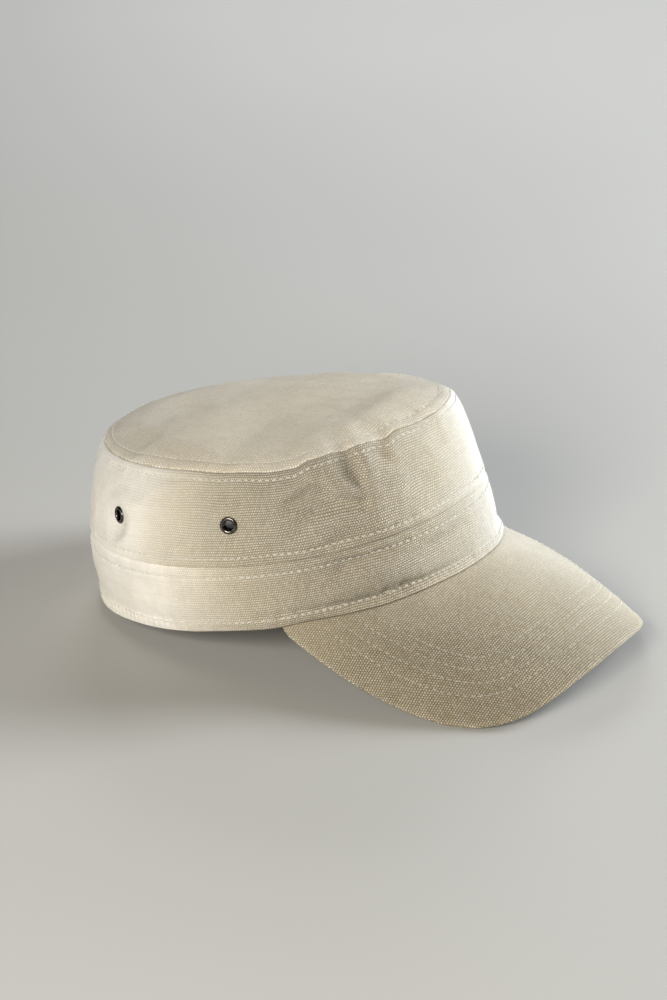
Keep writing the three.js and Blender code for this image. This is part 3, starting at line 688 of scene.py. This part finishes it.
# outer edge rounded: the upper face rolls down into the lower one
flat_out = unit(np.gradient(flat_edge, axis=0)[:, ::-1] * [1, -1])
flat_out *= np.sign((flat_out * flat_ray).sum(-1).mean())
upper_edge = P[-1]
tang = unit(np.gradient(upper_edge, axis=0))
ne = N[-1]
out_dir = unit(np.cross(tang, ne))
out_dir *= np.sign((out_dir * ray).sum(-1).mean())
under_rows = np.array([0.985, 0.95, 0.88, 0.78, 0.66, 0.54, 0.42, 0.3, 0.18, 0.07, 0.0])
U = root[None] + ray[None] * (length[None] * under_rows[:, None])[..., None] - UP * GAP
NU = grid_normals(np.concatenate([U, U[-1:] - ray[None] * 1.0]), False, UP)[:-1]
lower = U - NU * thick + NU * (sag[None] * np.sin(np.pi * under_rows)[:, None])[..., None]
edge_loops = []
for k in (30, 60, 90, 120, 150):
    a = k * DEG
    edge_loops.append(upper_edge - ne * (thick / 2 * (1 - math.cos(a))) + out_dir * (0.85 * math.sin(a)))
n_r = outward(tp, rim)
tuck_up = root - UP * GAP - n_r * PEAK["under"]
tuck_mid = root - UP * GAP - n_r * PEAK["under"] * 0.5
tuck_low = tuck_up - UP * thick
tuck_low_mid = tuck_mid - UP * thick
loops = [tuck_up, tuck_mid] + list(P) + edge_loops + list(lower) + [tuck_low_mid, tuck_low]
L = np.stack(loops)
m, n = L.shape[0], L.shape[1]
faces, corner = band_faces(loops, n, False, True)
rows_flat = np.concatenate([
    [flat_root - flat_ray * PEAK["under"], flat_root - flat_ray * PEAK["under"] * 0.5], F,
    [flat_edge + flat_ray * (0.4 + 0.5 * i) for i in range(5)],
    [flat_root + flat_ray * (length[:, None] * o) + [0, -200.0] for o in under_rows],
    [flat_root + [0, -200.0] - flat_ray * 1.2, flat_root + [0, -200.0] - flat_ray * 2.4],
])
rows_flat = np.concatenate([rows_flat, rows_flat[-1:]])
uvs = rows_flat[corner[..., 0], corner[..., 1]]
points = L.reshape(-1, 3)
# both ends are closed with a strip of faces across the plate
ends = []
for col in (0, n - 1):
    ids = np.arange(m) * n + col
    lo_i, hi_i = 0, m - 1
    while hi_i - lo_i > 2:
        ends.append([ids[lo_i], ids[lo_i + 1], ids[hi_i - 1], ids[hi_i]] if col == 0 else [ids[lo_i], ids[hi_i], ids[hi_i - 1], ids[lo_i + 1]])
        lo_i, hi_i = lo_i + 1, hi_i - 1
    if hi_i - lo_i == 2:
        ends.append([ids[lo_i], ids[lo_i + 1], ids[hi_i], -1] if col == 0 else [ids[lo_i], ids[hi_i], ids[lo_i + 1], -1])
ends = np.array(ends)
faces = np.vstack([faces, ends])
uvs = np.concatenate([uvs, np.repeat(points[np.maximum(ends, 0)][..., :2], 1, 0)])
lip_wear = 0.95 * np.exp(-(s_out / 1.1) ** 2) + 0.15 * np.exp(-((s_out - 2.2) / 1.2) ** 2)
wear = np.concatenate([np.zeros((2, n)), lip_wear, np.full((5, n), 0.9), np.zeros((m - 2 - len(P) - 5, n))])
peak_mesh = mesh_from("peak_cloth", placed(points), faces, uvs, wear.ravel())
peak_piece = make_object("peak_cloth", peak_mesh)
PEAK_OUTER, PEAK_NORMAL = P, N

# ------------------------------------------------------------------ eyelets
def lathe(name, profile, sides, frame_c, frame_n):
    """Ring turned from a closed profile of (radius, height) pairs, set with its axis along a normal."""
    a = unit(np.cross(frame_n, [0.0, 0.0, 1.0]))
    b = np.cross(frame_n, a)
    ang = 2 * np.pi * np.arange(sides) / sides
    loops = []
    for r, z in profile:
        loops.append(frame_c + frame_n * z + r * (np.cos(ang)[:, None] * a + np.sin(ang)[:, None] * b))
    u = np.arange(sides + 1) * 0.5
    points, faces, uvs, w = shell(name, loops, u, True, True)
    return mesh_from(name, placed(points), faces, uvs, np.zeros(len(points)))


def eyelet_profile():
    out = []
    for k in np.linspace(0, 1, 13):                     # the rolled outer flange, from its outer edge to the hole
        a = np.pi * k
        out.append((3.22 + 0.94 * math.cos(a), 0.06 + 0.90 * math.sin(a) ** 0.85))
    out += [(2.24, -0.5), (2.10, -1.1), (1.98, -1.9), (1.98, -2.3)]
    for k in np.linspace(0, 1, 9):                      # the flange clinched on the inside
        a = np.pi * k
        out.append((3.06 - 1.0 * math.cos(a), -2.40 - 0.34 * math.sin(a)))
    out += [(3.7, -2.2), (3.22, -2.08), (3.2, -1.4), (3.2, -0.6), (3.25, -0.02)]
    return out


cutters = []
eyelets = {}
for name, c, n in EYELET_AT:
    mesh = lathe(name + "_metal", eyelet_profile(), 56, c - n * 0.24, n)
    eyelets[name] = make_object(name + "_metal", mesh)
    cut = lathe("cut_" + name, [(0.001, 6.0), (3.3, 6.0), (3.3, -6.0), (0.001, -6.0)], 48, c, n)
    cutters.append(make_object("cut_" + name, cut))
for cutter in cutters:                                  # the holes in the cloth
    mod = crown.modifiers.new("hole", "BOOLEAN")
    mod.operation, mod.solver, mod.object = "DIFFERENCE", "EXACT", cutter
dg = bpy.context.evaluated_depsgraph_get()
holed = bpy.data.meshes.new_from_object(crown.evaluated_get(dg), preserve_all_data_layers=True, depsgraph=dg)
crown.modifiers.clear()
crown.data = holed
for cutter in cutters:
    bpy.data.objects.remove(cutter)


# ------------------------------------------------------------------ stitches
def at_rows(G, rows, cols=None):
    """Points of a grid at fractional row numbers, one for each column."""
    j = np.clip(np.floor(rows).astype(int), 0, len(G) - 2)
    k = (rows - j)[:, None]
    c = np.arange(G.shape[1]) if cols is None else cols
    return G[j, c] * (1 - k) + G[j + 1, c] * k


def sample(line, dist, x, closed):
    """Points on a line at distances x."""
    if closed:
        x = x % dist[-1]
        line = np.vstack([line, line[:1]])
    return np.stack([np.interp(x, dist, line[:, k]) for k in range(3)], -1)


def stitches(name, runs, size=1.0):
    """One mesh of separate thread stitches. Each run is a line of points, its normals, whether it is closed, and the
    slant of its stitches.
    """
    verts, faces, uvs = [], [], []
    sides, sections = 8, 9
    ks = np.linspace(-1, 1, sections)
    base = 0
    for line, normal, closed, jitter in runs:
        dist = along(line, closed)
        total = dist[-1]
        n = max(round(total / STITCH["pitch"]), 1)
        pitch = total / n
        first = 0 if closed else 1
        for i in range(first, n):
            centre = i * pitch + rng.normal() * 0.05
            half_len = (STITCH["length"] / 2) * (1 + rng.normal() * 0.05)
            x = centre + ks * half_len
            if not closed:
                x = np.clip(x, 0, total)
            p = sample(line, dist, x, closed)
            nn = unit(sample(normal, dist, x, closed))
            tangent = unit(np.gradient(p, axis=0))
            across = unit(np.cross(nn, tangent))
            slant = rng.normal() * 0.05 + jitter
            lift = 0.25 + 0.05 * rng.normal() - 0.62 * np.abs(ks) ** 3.2
            p = p + nn * lift[:, None] + across * (slant * ks * half_len + rng.normal() * 0.05)[:, None]
            wide = size * STITCH["wide"] * (1 - 0.45 * np.abs(ks) ** 3)
            high = size * STITCH["high"] * (1 - 0.35 * np.abs(ks) ** 3)
            ang = 2 * np.pi * np.arange(sides) / sides
            ringpts = p[:, None] + across[:, None] * (wide[:, None] * np.cos(ang))[..., None] + nn[:, None] * (high[:, None] * np.sin(ang))[..., None]
            verts.append(ringpts.reshape(-1, 3))
            verts.append(np.stack([p[0], p[-1]]))
            r, c = np.meshgrid(np.arange(sections - 1), np.arange(sides), indexing="ij")
            r, c = r.ravel(), c.ravel()
            f = np.stack([r * sides + c, r * sides + (c + 1) % sides, (r + 1) * sides + (c + 1) % sides, (r + 1) * sides + c], 1)
            uv = np.stack([np.stack([r, c], -1), np.stack([r, c + 1], -1), np.stack([r + 1, c + 1], -1), np.stack([r + 1, c], -1)], 1).astype(float)
            uv[..., 0] = uv[..., 0] * STITCH["length"] / (sections - 1) + i * 0.37
            uv[..., 1] = uv[..., 1] * 0.22
            q = np.arange(sides)
            a0, a1 = sections * sides, sections * sides + 1
            f0 = np.stack([(q + 1) % sides, q, np.full(sides, a0), np.full(sides, -1)], 1)
            f1 = np.stack([(sections - 1) * sides + q, (sections - 1) * sides + (q + 1) % sides, np.full(sides, a1), np.full(sides, -1)], 1)
            block = np.vstack([f, f0, f1])
            faces.append(np.where(block >= 0, block + base, -1))
            uvs.append(np.concatenate([uv, np.zeros((2 * sides, 4, 2))]))
            base += sections * sides + 2
    P = np.vstack(verts)
    F = np.vstack(faces)
    return make_object(name, mesh_from(name, placed(P), F, np.concatenate(uvs), np.zeros(len(P))))


def side_line(G, NG, row_of):
    return G[row_of], NG[row_of]


def line_at(values, target):
    """Fractional row where values, one column of rows, pass the target, for every column."""
    out = []
    for col in values.T:
        sign = col - target
        j = np.where(np.diff(np.sign(sign)) != 0)[0][0]
        out.append(j + sign[j] / (sign[j] - sign[j + 1]))
    return np.array(out)


s_rows = SIDE_H[:, None] * tall[None]
r_low = line_at(s_rows, SIDE_LOW)
r_high = line_at((1 - SIDE_H[:, None]) * tall[None], SIDE_HIGH)
side_stitch = stitches("crown_side_stitches", [
    (at_rows(SIDE_OUTER, r_low), at_rows(SIDE_NORMAL, r_low), True, 0.03),
    (at_rows(SIDE_OUTER, r_high), at_rows(SIDE_NORMAL, r_high), True, 0.03)])
r_top = line_at(s_edge, TOP_ROW)
top_stitch = stitches("top_panel_stitches", [(at_rows(TOP_OUTER, r_top), at_rows(TOP_NORMAL, r_top), True, 0.03)])
b_rows = BAND_H[:, None] * 33 * np.ones((1, COLUMNS))
r_hem, r_band = line_at(b_rows, HEM_ROW), line_at(33 - b_rows, BAND_ROW)
band_stitch = stitches("band_stitches", [
    (at_rows(BAND_OUTER, r_hem), at_rows(BAND_NORMAL, r_hem), True, 0.03),
    (at_rows(BAND_OUTER, r_band), at_rows(BAND_NORMAL, r_band), True, 0.03)])
runs = []
for cols, rows in PEAK_LINES:
    for part in np.split(np.arange(len(cols)), np.where(np.diff(cols) > 1)[0] + 1):
        if len(part) > 6:
            runs.append((at_rows(PEAK_OUTER, rows[part], cols[part]), at_rows(PEAK_NORMAL, rows[part], cols[part]), False, 0.02))
peak_stitch = stitches("peak_stitches", runs, 0.84)

# ------------------------------------------------------------------ materials
# painted shade: how much darker the gaps between threads and the weft cells are painted
GAP_PAINTED_SHADE, WEFT_PAINTED_SHADE = 0.62, 0.17


class Nodes:
    """Small helper to write a material's nodes as expressions."""

    def __init__(self, name):
        self.mat = bpy.data.materials.new(name)
        self.mat.use_nodes = True
        self.tree = self.mat.node_tree
        self.tree.nodes.clear()

    def new(self, kind, **settings):
        n = self.tree.nodes.new(kind)
        for k, v in settings.items():
            setattr(n, k, v)
        return n

    def put(self, socket, value):
        if isinstance(value, bpy.types.NodeSocket):
            self.tree.links.new(value, socket)
        else:
            socket.default_value = value

    def math(self, op, a, b=None, c=None, clamp=False):
        n = self.new("ShaderNodeMath", operation=op, use_clamp=clamp)
        self.put(n.inputs[0], a)
        if b is not None:
            self.put(n.inputs[1], b)
        if c is not None:
            self.put(n.inputs[2], c)
        return n.outputs[0]

    def mix(self, k, a, b):
        """a where k is 0 and b where k is 1, for numbers."""
        n = self.new("ShaderNodeMix", data_type="FLOAT")
        self.put(n.inputs[0], k)
        self.put(n.inputs[2], a)
        self.put(n.inputs[3], b)
        return n.outputs[0]

    def colour(self, k, a, b, how="MIX"):
        n = self.new("ShaderNodeMix", data_type="RGBA", blend_type=how)
        self.put(n.inputs[0], k)
        self.put(n.inputs[6], a)
        self.put(n.inputs[7], b)
        return n.outputs[2]

    def span(self, x, a, b, c, d):
        n = self.new("ShaderNodeMapRange", clamp=True)
        for i, v in enumerate((x, a, b, c, d)):
            self.put(n.inputs[i], v)
        return n.outputs[0]

    def noise(self, vector, scale, detail=2.0, rough=0.5):
        n = self.new("ShaderNodeTexNoise")
        self.put(n.inputs["Vector"], vector)
        self.put(n.inputs["Scale"], scale)
        self.put(n.inputs["Detail"], detail)
        self.put(n.inputs["Roughness"], rough)
        return n.outputs["Fac"]

    def vector(self, x, y, z=0.0):
        n = self.new("ShaderNodeCombineXYZ")
        for i, v in enumerate((x, y, z)):
            self.put(n.inputs[i], v)
        return n.outputs[0]

    def random(self, x):
        n = self.new("ShaderNodeTexWhiteNoise", noise_dimensions="1D")
        self.put(n.inputs["W"], x)
        return n.outputs["Value"]

    def done(self, shader_inputs, height=None, distance=0.0001, strength=1.0):
        out = self.new("ShaderNodeOutputMaterial")
        s = self.new("ShaderNodeBsdfPrincipled")
        for k, v in shader_inputs.items():
            self.put(s.inputs[k], v)
        if height is not None:
            b = self.new("ShaderNodeBump")
            b.inputs["Strength"].default_value = strength
            b.inputs["Distance"].default_value = distance
            self.put(b.inputs["Height"], height)
            self.tree.links.new(b.outputs[0], s.inputs["Normal"])
        self.tree.links.new(s.outputs[0], out.inputs[0])
        return self.mat


def canvas(name, colour, seed=0.0, turn=0.0, warp_gap=0.59, weft_gap=1.14, gap_shade_and_relief=(0.0, 0.0, 0.0, 0.0, 0.0, 1.0, 1.0)):
    """Plain-woven canvas with fine upright threads over thicker level ones, counted out from the cloth's own flat measures."""
    g = Nodes(name)
    uv = g.new("ShaderNodeUVMap", uv_map="cloth").outputs[0]
    place = g.new("ShaderNodeTexCoord").outputs["Object"]
    xyz = g.new("ShaderNodeSeparateXYZ")
    g.put(xyz.inputs[0], uv)
    u, v = xyz.outputs[0], xyz.outputs[1]
    if turn:
        c, s = math.cos(turn * DEG), math.sin(turn * DEG)
        u, v = (g.math("ADD", g.math("MULTIPLY", u, c), g.math("MULTIPLY", v, -s)), g.math("ADD", g.math("MULTIPLY", u, s), g.math("MULTIPLY", v, c)))
    # threads wander a little
    drift = g.math("SUBTRACT", g.noise(g.vector(u, v, seed), 0.05, 2.0), 0.5)
    drift2 = g.math("SUBTRACT", g.noise(g.vector(v, u, seed + 9.0), 0.05, 2.0), 0.5)
    shake = g.math("SUBTRACT", g.noise(g.vector(u, v, seed + 4.0), 0.9, 1.0), 0.5)
    shake2 = g.math("SUBTRACT", g.noise(g.vector(v, u, seed + 6.0), 0.9, 1.0), 0.5)
    u = g.math("ADD", u, g.math("ADD", g.math("MULTIPLY", drift, 1.6), g.math("MULTIPLY", shake, 0.20)))
    v = g.math("ADD", v, g.math("ADD", g.math("MULTIPLY", drift2, 1.6), g.math("MULTIPLY", shake2, 0.24)))
    a, b = g.math("DIVIDE", u, warp_gap), g.math("DIVIDE", v, weft_gap)
    sa, sb = g.math("SINE", g.math("MULTIPLY", a, math.pi)), g.math("SINE", g.math("MULTIPLY", b, math.pi))
    over = g.math("GREATER_THAN", g.math("MULTIPLY", sa, sb), 0.0)
    ca, cb = g.math("ABSOLUTE", sa), g.math("ABSOLUTE", sb)
    warp = g.math("MULTIPLY", g.math("POWER", ca, 0.7), g.math("POWER", cb, 0.6))
    weft = g.math("MULTIPLY", g.math("POWER", ca, 0.4), g.math("POWER", cb, 0.8))
    h = g.mix(over, g.math("MULTIPLY", weft, 0.72), warp)
    ia, ib = g.math("FLOOR", a), g.math("FLOOR", b)
    cell = g.new("ShaderNodeTexWhiteNoise", noise_dimensions="3D")
    g.put(cell.inputs["Vector"], g.vector(ia, ib, seed))
    h = g.math("MULTIPLY", h, g.span(cell.outputs["Value"], 0.0, 1.0, 0.66, 1.16))
    warp_tone = g.math("SUBTRACT", g.random(g.math("ADD", ia, seed * 17.0)), 0.5)
    weft_tone = g.math("SUBTRACT", g.random(g.math("ADD", ib, seed * 31.0 + 500.0)), 0.5)
    warp_slub = g.math("SUBTRACT", g.noise(g.vector(g.math("MULTIPLY", ia, 5.3), g.math("MULTIPLY", b, 0.09), seed + 2.0), 1.0, 1.0), 0.5)
    weft_slub = g.math("SUBTRACT", g.noise(g.vector(g.math("MULTIPLY", a, 0.05), g.math("MULTIPLY", ib, 5.3), seed + 3.0), 1.0, 1.0), 0.5)
    tone = g.mix(over, g.math("ADD", g.math("MULTIPLY", weft_tone, 0.05), g.math("MULTIPLY", weft_slub, 0.15)), g.math("ADD", g.math("MULTIPLY", warp_tone, 0.05), g.math("MULTIPLY", warp_slub, 0.18)))
    fibre = g.noise(g.vector(g.math("MULTIPLY", u, g.mix(over, 1.0, 5.0)), g.math("MULTIPLY", v, g.mix(over, 5.0, 1.0)), seed), 2.6, 2.0, 0.65)
    # painted shade: the gaps between threads are painted darker, and the weave's bumps are deeper, where the lamps
    # graze the cloth, set along a direction, from a centre, between two values
    cx, cy, dx, dy, lo, near, far = gap_shade_and_relief
    if dx or dy:
        spot = g.new("ShaderNodeSeparateXYZ")
        g.put(spot.inputs[0], place)
        px, py = g.math("SUBTRACT", spot.outputs[0], cx), g.math("SUBTRACT", spot.outputs[1], cy)
        reach = g.math("ADD", g.math("MULTIPLY", px, dx), g.math("MULTIPLY", py, dy))
        if lo < 0:
            reach = g.math("DIVIDE", reach, g.math("SQRT", g.math("ADD", g.math("MULTIPLY", px, px), g.math("MULTIPLY", py, py))))
            shade_and_relief = g.span(reach, 0.45, 0.97, near, far)
        else:
            shade_and_relief = g.span(reach, lo, lo + 0.08, near, far)
    else:
        shade_and_relief = near
    # colour of the cloth: painted shade between threads and on the weft cells, cloudy, and paler in worn places
    gap = g.span(h, 0.0, 0.92, g.math("SUBTRACT", 1.0, g.math("MULTIPLY", GAP_PAINTED_SHADE, shade_and_relief)), 1.0)
    face = g.mix(over, g.math("SUBTRACT", 1.0, g.math("MULTIPLY", WEFT_PAINTED_SHADE, shade_and_relief)), 1.0)
    cloud = g.noise(place, 24.0, 3.0, 0.55)
    cloud_small = g.noise(place, 130.0, 2.0, 0.6)
    worn = g.new("ShaderNodeAttribute", attribute_name="wear").outputs["Fac"]
    k = g.math("MULTIPLY", gap, face)
    k = g.math("MULTIPLY", k, g.math("ADD", 1.0, tone))
    k = g.math("MULTIPLY", k, g.span(fibre, 0.25, 0.75, 0.95, 1.05))
    k = g.math("MULTIPLY", k, g.span(cloud, 0.3, 0.7, 0.975, 1.025))
    k = g.math("MULTIPLY", k, g.span(cloud_small, 0.3, 0.7, 0.975, 1.025))
    k = g.math("MULTIPLY", k, g.math("ADD", 1.0, g.math("MULTIPLY", worn, g.span(cloud_small, 0.3, 0.7, 0.04, 0.26))))
    warm = tuple(colour[i] * (1.015, 0.99, 0.94)[i] for i in range(3)) + (1.0,)
    cool = tuple(colour[i] * (0.99, 1.0, 1.025)[i] for i in range(3)) + (1.0,)
    tint = g.colour(g.span(g.noise(place, 14.0, 2.0), 0.35, 0.65, 0.0, 1.0), warm, cool)
    # painted shade: the darkest gaps between threads are painted warmer and browner
    gap_shade_colour = g.colour(g.math("POWER", gap, 2.2), tuple(colour[i] * (1.06, 0.91, 0.62)[i] for i in range(3)) + (1.0,), tint)
    shade = g.new("ShaderNodeVectorMath", operation="SCALE")
    g.put(shade.inputs[0], gap_shade_colour)
    g.put(shade.inputs[3], k)
    height = g.math("MULTIPLY", g.math("ADD", h, g.math("MULTIPLY", fibre, 0.20)), g.math("ADD", 0.22, g.math("MULTIPLY", shade_and_relief, 0.62)))
    return g.done({"Base Color": shade.outputs[0], "Roughness": 0.92, "Specular IOR Level": 0.2, "Sheen Weight": 0.10, "Sheen Roughness": 0.5}, height, 0.00046, 1.0)


def thread_finish(name, colour, painted_shade_side=1.0, painted_light_side=1.0):
    """Stitching thread: two plies twisted together."""
    g = Nodes(name)
    uv = g.new("ShaderNodeUVMap", uv_map="cloth").outputs[0]
    xyz = g.new("ShaderNodeSeparateXYZ")
    g.put(xyz.inputs[0], uv)
    place = g.new("ShaderNodeTexCoord").outputs["Object"]
    twist = g.math("SINE", g.math("ADD", g.math("MULTIPLY", xyz.outputs[0], 11.0), g.math("MULTIPLY", xyz.outputs[1], 3.57)))
    speck = g.noise(place, 900.0, 2.0)
    k = g.math("MULTIPLY", g.span(twist, -1.0, 0.4, 0.78, 1.0), g.span(speck, 0.3, 0.7, 0.92, 1.08))
    k = g.math("MULTIPLY", k, g.span(g.noise(place, 160.0, 2.0), 0.3, 0.7, 0.90, 1.08))
    across = g.new("ShaderNodeSeparateXYZ")
    g.put(across.inputs[0], place)
    k = g.math("MULTIPLY", k, g.span(across.outputs[0], -0.02, 0.045, painted_shade_side, painted_light_side))      # painted light and shade: paler towards one side of the piece and darker towards the other
    shade = g.new("ShaderNodeVectorMath", operation="SCALE")
    g.put(shade.inputs[0], colour)
    g.put(shade.inputs[3], k)
    return g.done({"Base Color": shade.outputs[0], "Roughness": 0.7, "Specular IOR Level": 0.3, "Sheen Weight": 0.1}, twist, 0.00005, 0.8)


def dark_nickel(name):
    g = Nodes(name)
    place = g.new("ShaderNodeTexCoord").outputs["Object"]
    cloud = g.noise(place, 420.0, 4.0, 0.6)
    scuff = g.noise(place, 2600.0, 3.0, 0.7)
    rough = g.math("ADD", g.span(cloud, 0.35, 0.7, 0.14, 0.27), g.span(scuff, 0.55, 0.75, 0.0, 0.10))
    tint = g.colour(g.span(cloud, 0.4, 0.65, 0.0, 1.0), (0.085, 0.075, 0.068, 1.0), (0.17, 0.152, 0.14, 1.0))
    height = g.math("ADD", g.math("MULTIPLY", scuff, 0.5), cloud)
    return g.done({"Base Color": tint, "Metallic": 1.0, "Roughness": rough}, height, 0.00002, 0.6)


CLOTH = (0.850, 0.829, 0.792)


# the cloth's colour scaled by k; above 1 it is painted lighter and below 1 painted darker, for the light a piece gets
def cloth_at_light_level(k, c=CLOTH):
    return tuple(x * k for x in c)


# painted shade: the last numbers of each canvas set where the gaps between its threads are painted darker and its weave
# bumps deeper
side_cloth = canvas("canvas_side", cloth_at_light_level(1.0), seed=1.0, gap_shade_and_relief=(0.0, 0.041, -0.74, -0.67, -1.0, 0.18, 1.28))
# painted light: the top panel's cloth is painted 5% lighter than the crown's
top_cloth = canvas("canvas_top", cloth_at_light_level(1.05), seed=2.0, turn=15.0, gap_shade_and_relief=(0.0, 0.0, 0.0, 0.0, 0.0, 0.72, 0.72))
band_cloth = canvas("canvas_band", cloth_at_light_level(1.0), seed=3.0, gap_shade_and_relief=(0.0, 0.031, -0.66, -0.75, -1.0, 0.14, 1.30))
# painted shade: the peak's cloth is painted darker and warmer than the crown's
peak_cloth = canvas("canvas_peak", (0.745, 0.708, 0.632), seed=4.0, gap_shade_and_relief=(0.0, 0.0, -0.85, -0.53, 0.01, 0.40, 1.45))
thread = thread_finish("stitch_thread", (0.75, 0.73, 0.67))
# painted light and shade: the peak's thread is painted from 0.76 to 1.40 of its colour across the peak
peak_thread = thread_finish("peak_stitch_thread", (0.72, 0.68, 0.59), 0.76, 1.40)
metal = dark_nickel("dark_nickel")

for piece, node, slot_name, mat in (
        (crown, "crown_side", "canvas_side", side_cloth), (top_piece, "top_panel", "canvas_top", top_cloth),
        (band_piece, "band", "canvas_band", band_cloth), (peak_piece, "peak", "canvas_peak", peak_cloth)):
    piece.data.materials.clear()
    piece.data.materials.append(mat)
    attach(piece, "root")
    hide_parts(node)
for piece, slot_name in ((side_stitch, "canvas_side"), (top_stitch, "canvas_top"), (band_stitch, "canvas_band"), (peak_stitch, "canvas_peak")):
    piece.data.materials.append(peak_thread if piece is peak_stitch else thread)
    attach(piece, "root")
for name, piece in eyelets.items():
    piece.data.materials.append(metal)
    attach(piece, "root")
    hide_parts(name)

# ------------------------------------------------------------------ floor, light and camera
floor_mesh = bpy.data.meshes.new("floor")
F = 12.0
floor_mesh.from_pydata([(-F, -F, 0), (F, -F, 0), (F, F, 0), (-F, F, 0)], [], [(0, 1, 2, 3)])
floor = make_object("floor", floor_mesh)
g = Nodes("floor_paint")
place = g.new("ShaderNodeTexCoord").outputs["Object"]
tint = g.colour(g.span(g.noise(place, 1.5, 2.0), 0.3, 0.7, 0.0, 1.0), (0.47, 0.462, 0.442, 1.0), (0.495, 0.487, 0.467, 1.0))
floor_mesh.materials.append(g.done({"Base Color": tint, "Roughness": 0.8, "Specular IOR Level": 0.2}))

world = bpy.data.worlds.new("studio")
bpy.context.scene.world = world
world.use_nodes = True
world.node_tree.nodes["Background"].inputs[0].default_value = (0.95, 0.98, 1.0, 1.0)
world.node_tree.nodes["Background"].inputs[1].default_value = WORLD

MIDDLE = np.array([0.0, 0.0, 0.055])


def softbox(name, azimuth, elevation, distance, size, power, colour=(1.0, 1.0, 1.0)):
    """A square lamp that faces the cap, placed by the direction it is seen in from there."""
    a, e = azimuth * DEG, elevation * DEG
    back = np.array([math.sin(a) * math.cos(e), -math.cos(a) * math.cos(e), math.sin(e)])
    right = np.array([math.cos(a), math.sin(a), 0.0])
    lift = np.cross(back, right)
    data = bpy.data.lights.new(name, "AREA")
    data.shape, data.size, data.energy, data.color = "SQUARE", size, power, colour
    o = make_object(name, data)
    o.visible_camera = False
    at = MIDDLE + back * distance
    m = np.eye(4)
    m[:3, 0], m[:3, 1], m[:3, 2], m[:3, 3] = right, lift, back, at

    o.matrix_world = mathutils.Matrix(m.tolist())
    return o


for lamp in LAMPS:
    softbox(*lamp)

cam_data = bpy.data.cameras.new("camera")
cam_data.sensor_fit, cam_data.sensor_width = "AUTO", 36.0
cam_data.lens = 3152.4635 * 36.0 / 1000
cam_data.clip_start, cam_data.clip_end = 0.05, 50.0
camera = make_object("camera", cam_data)
az, el = -57.8482 * DEG, 24.6119 * DEG
right = np.array([math.cos(az), math.sin(az), 0.0])
back = np.array([math.sin(az) * math.cos(el), -math.cos(az) * math.cos(el), math.sin(el)])
lift = np.cross(back, right)
m = np.eye(4)
m[:3, 0], m[:3, 1], m[:3, 2], m[:3, 3] = right, lift, back, np.array([-1.144669, -0.706823, 0.675706])
camera.matrix_world = mathutils.Matrix(m.tolist())
bpy.context.scene.camera = camera
bpy.context.scene.view_settings.view_transform = "Standard"
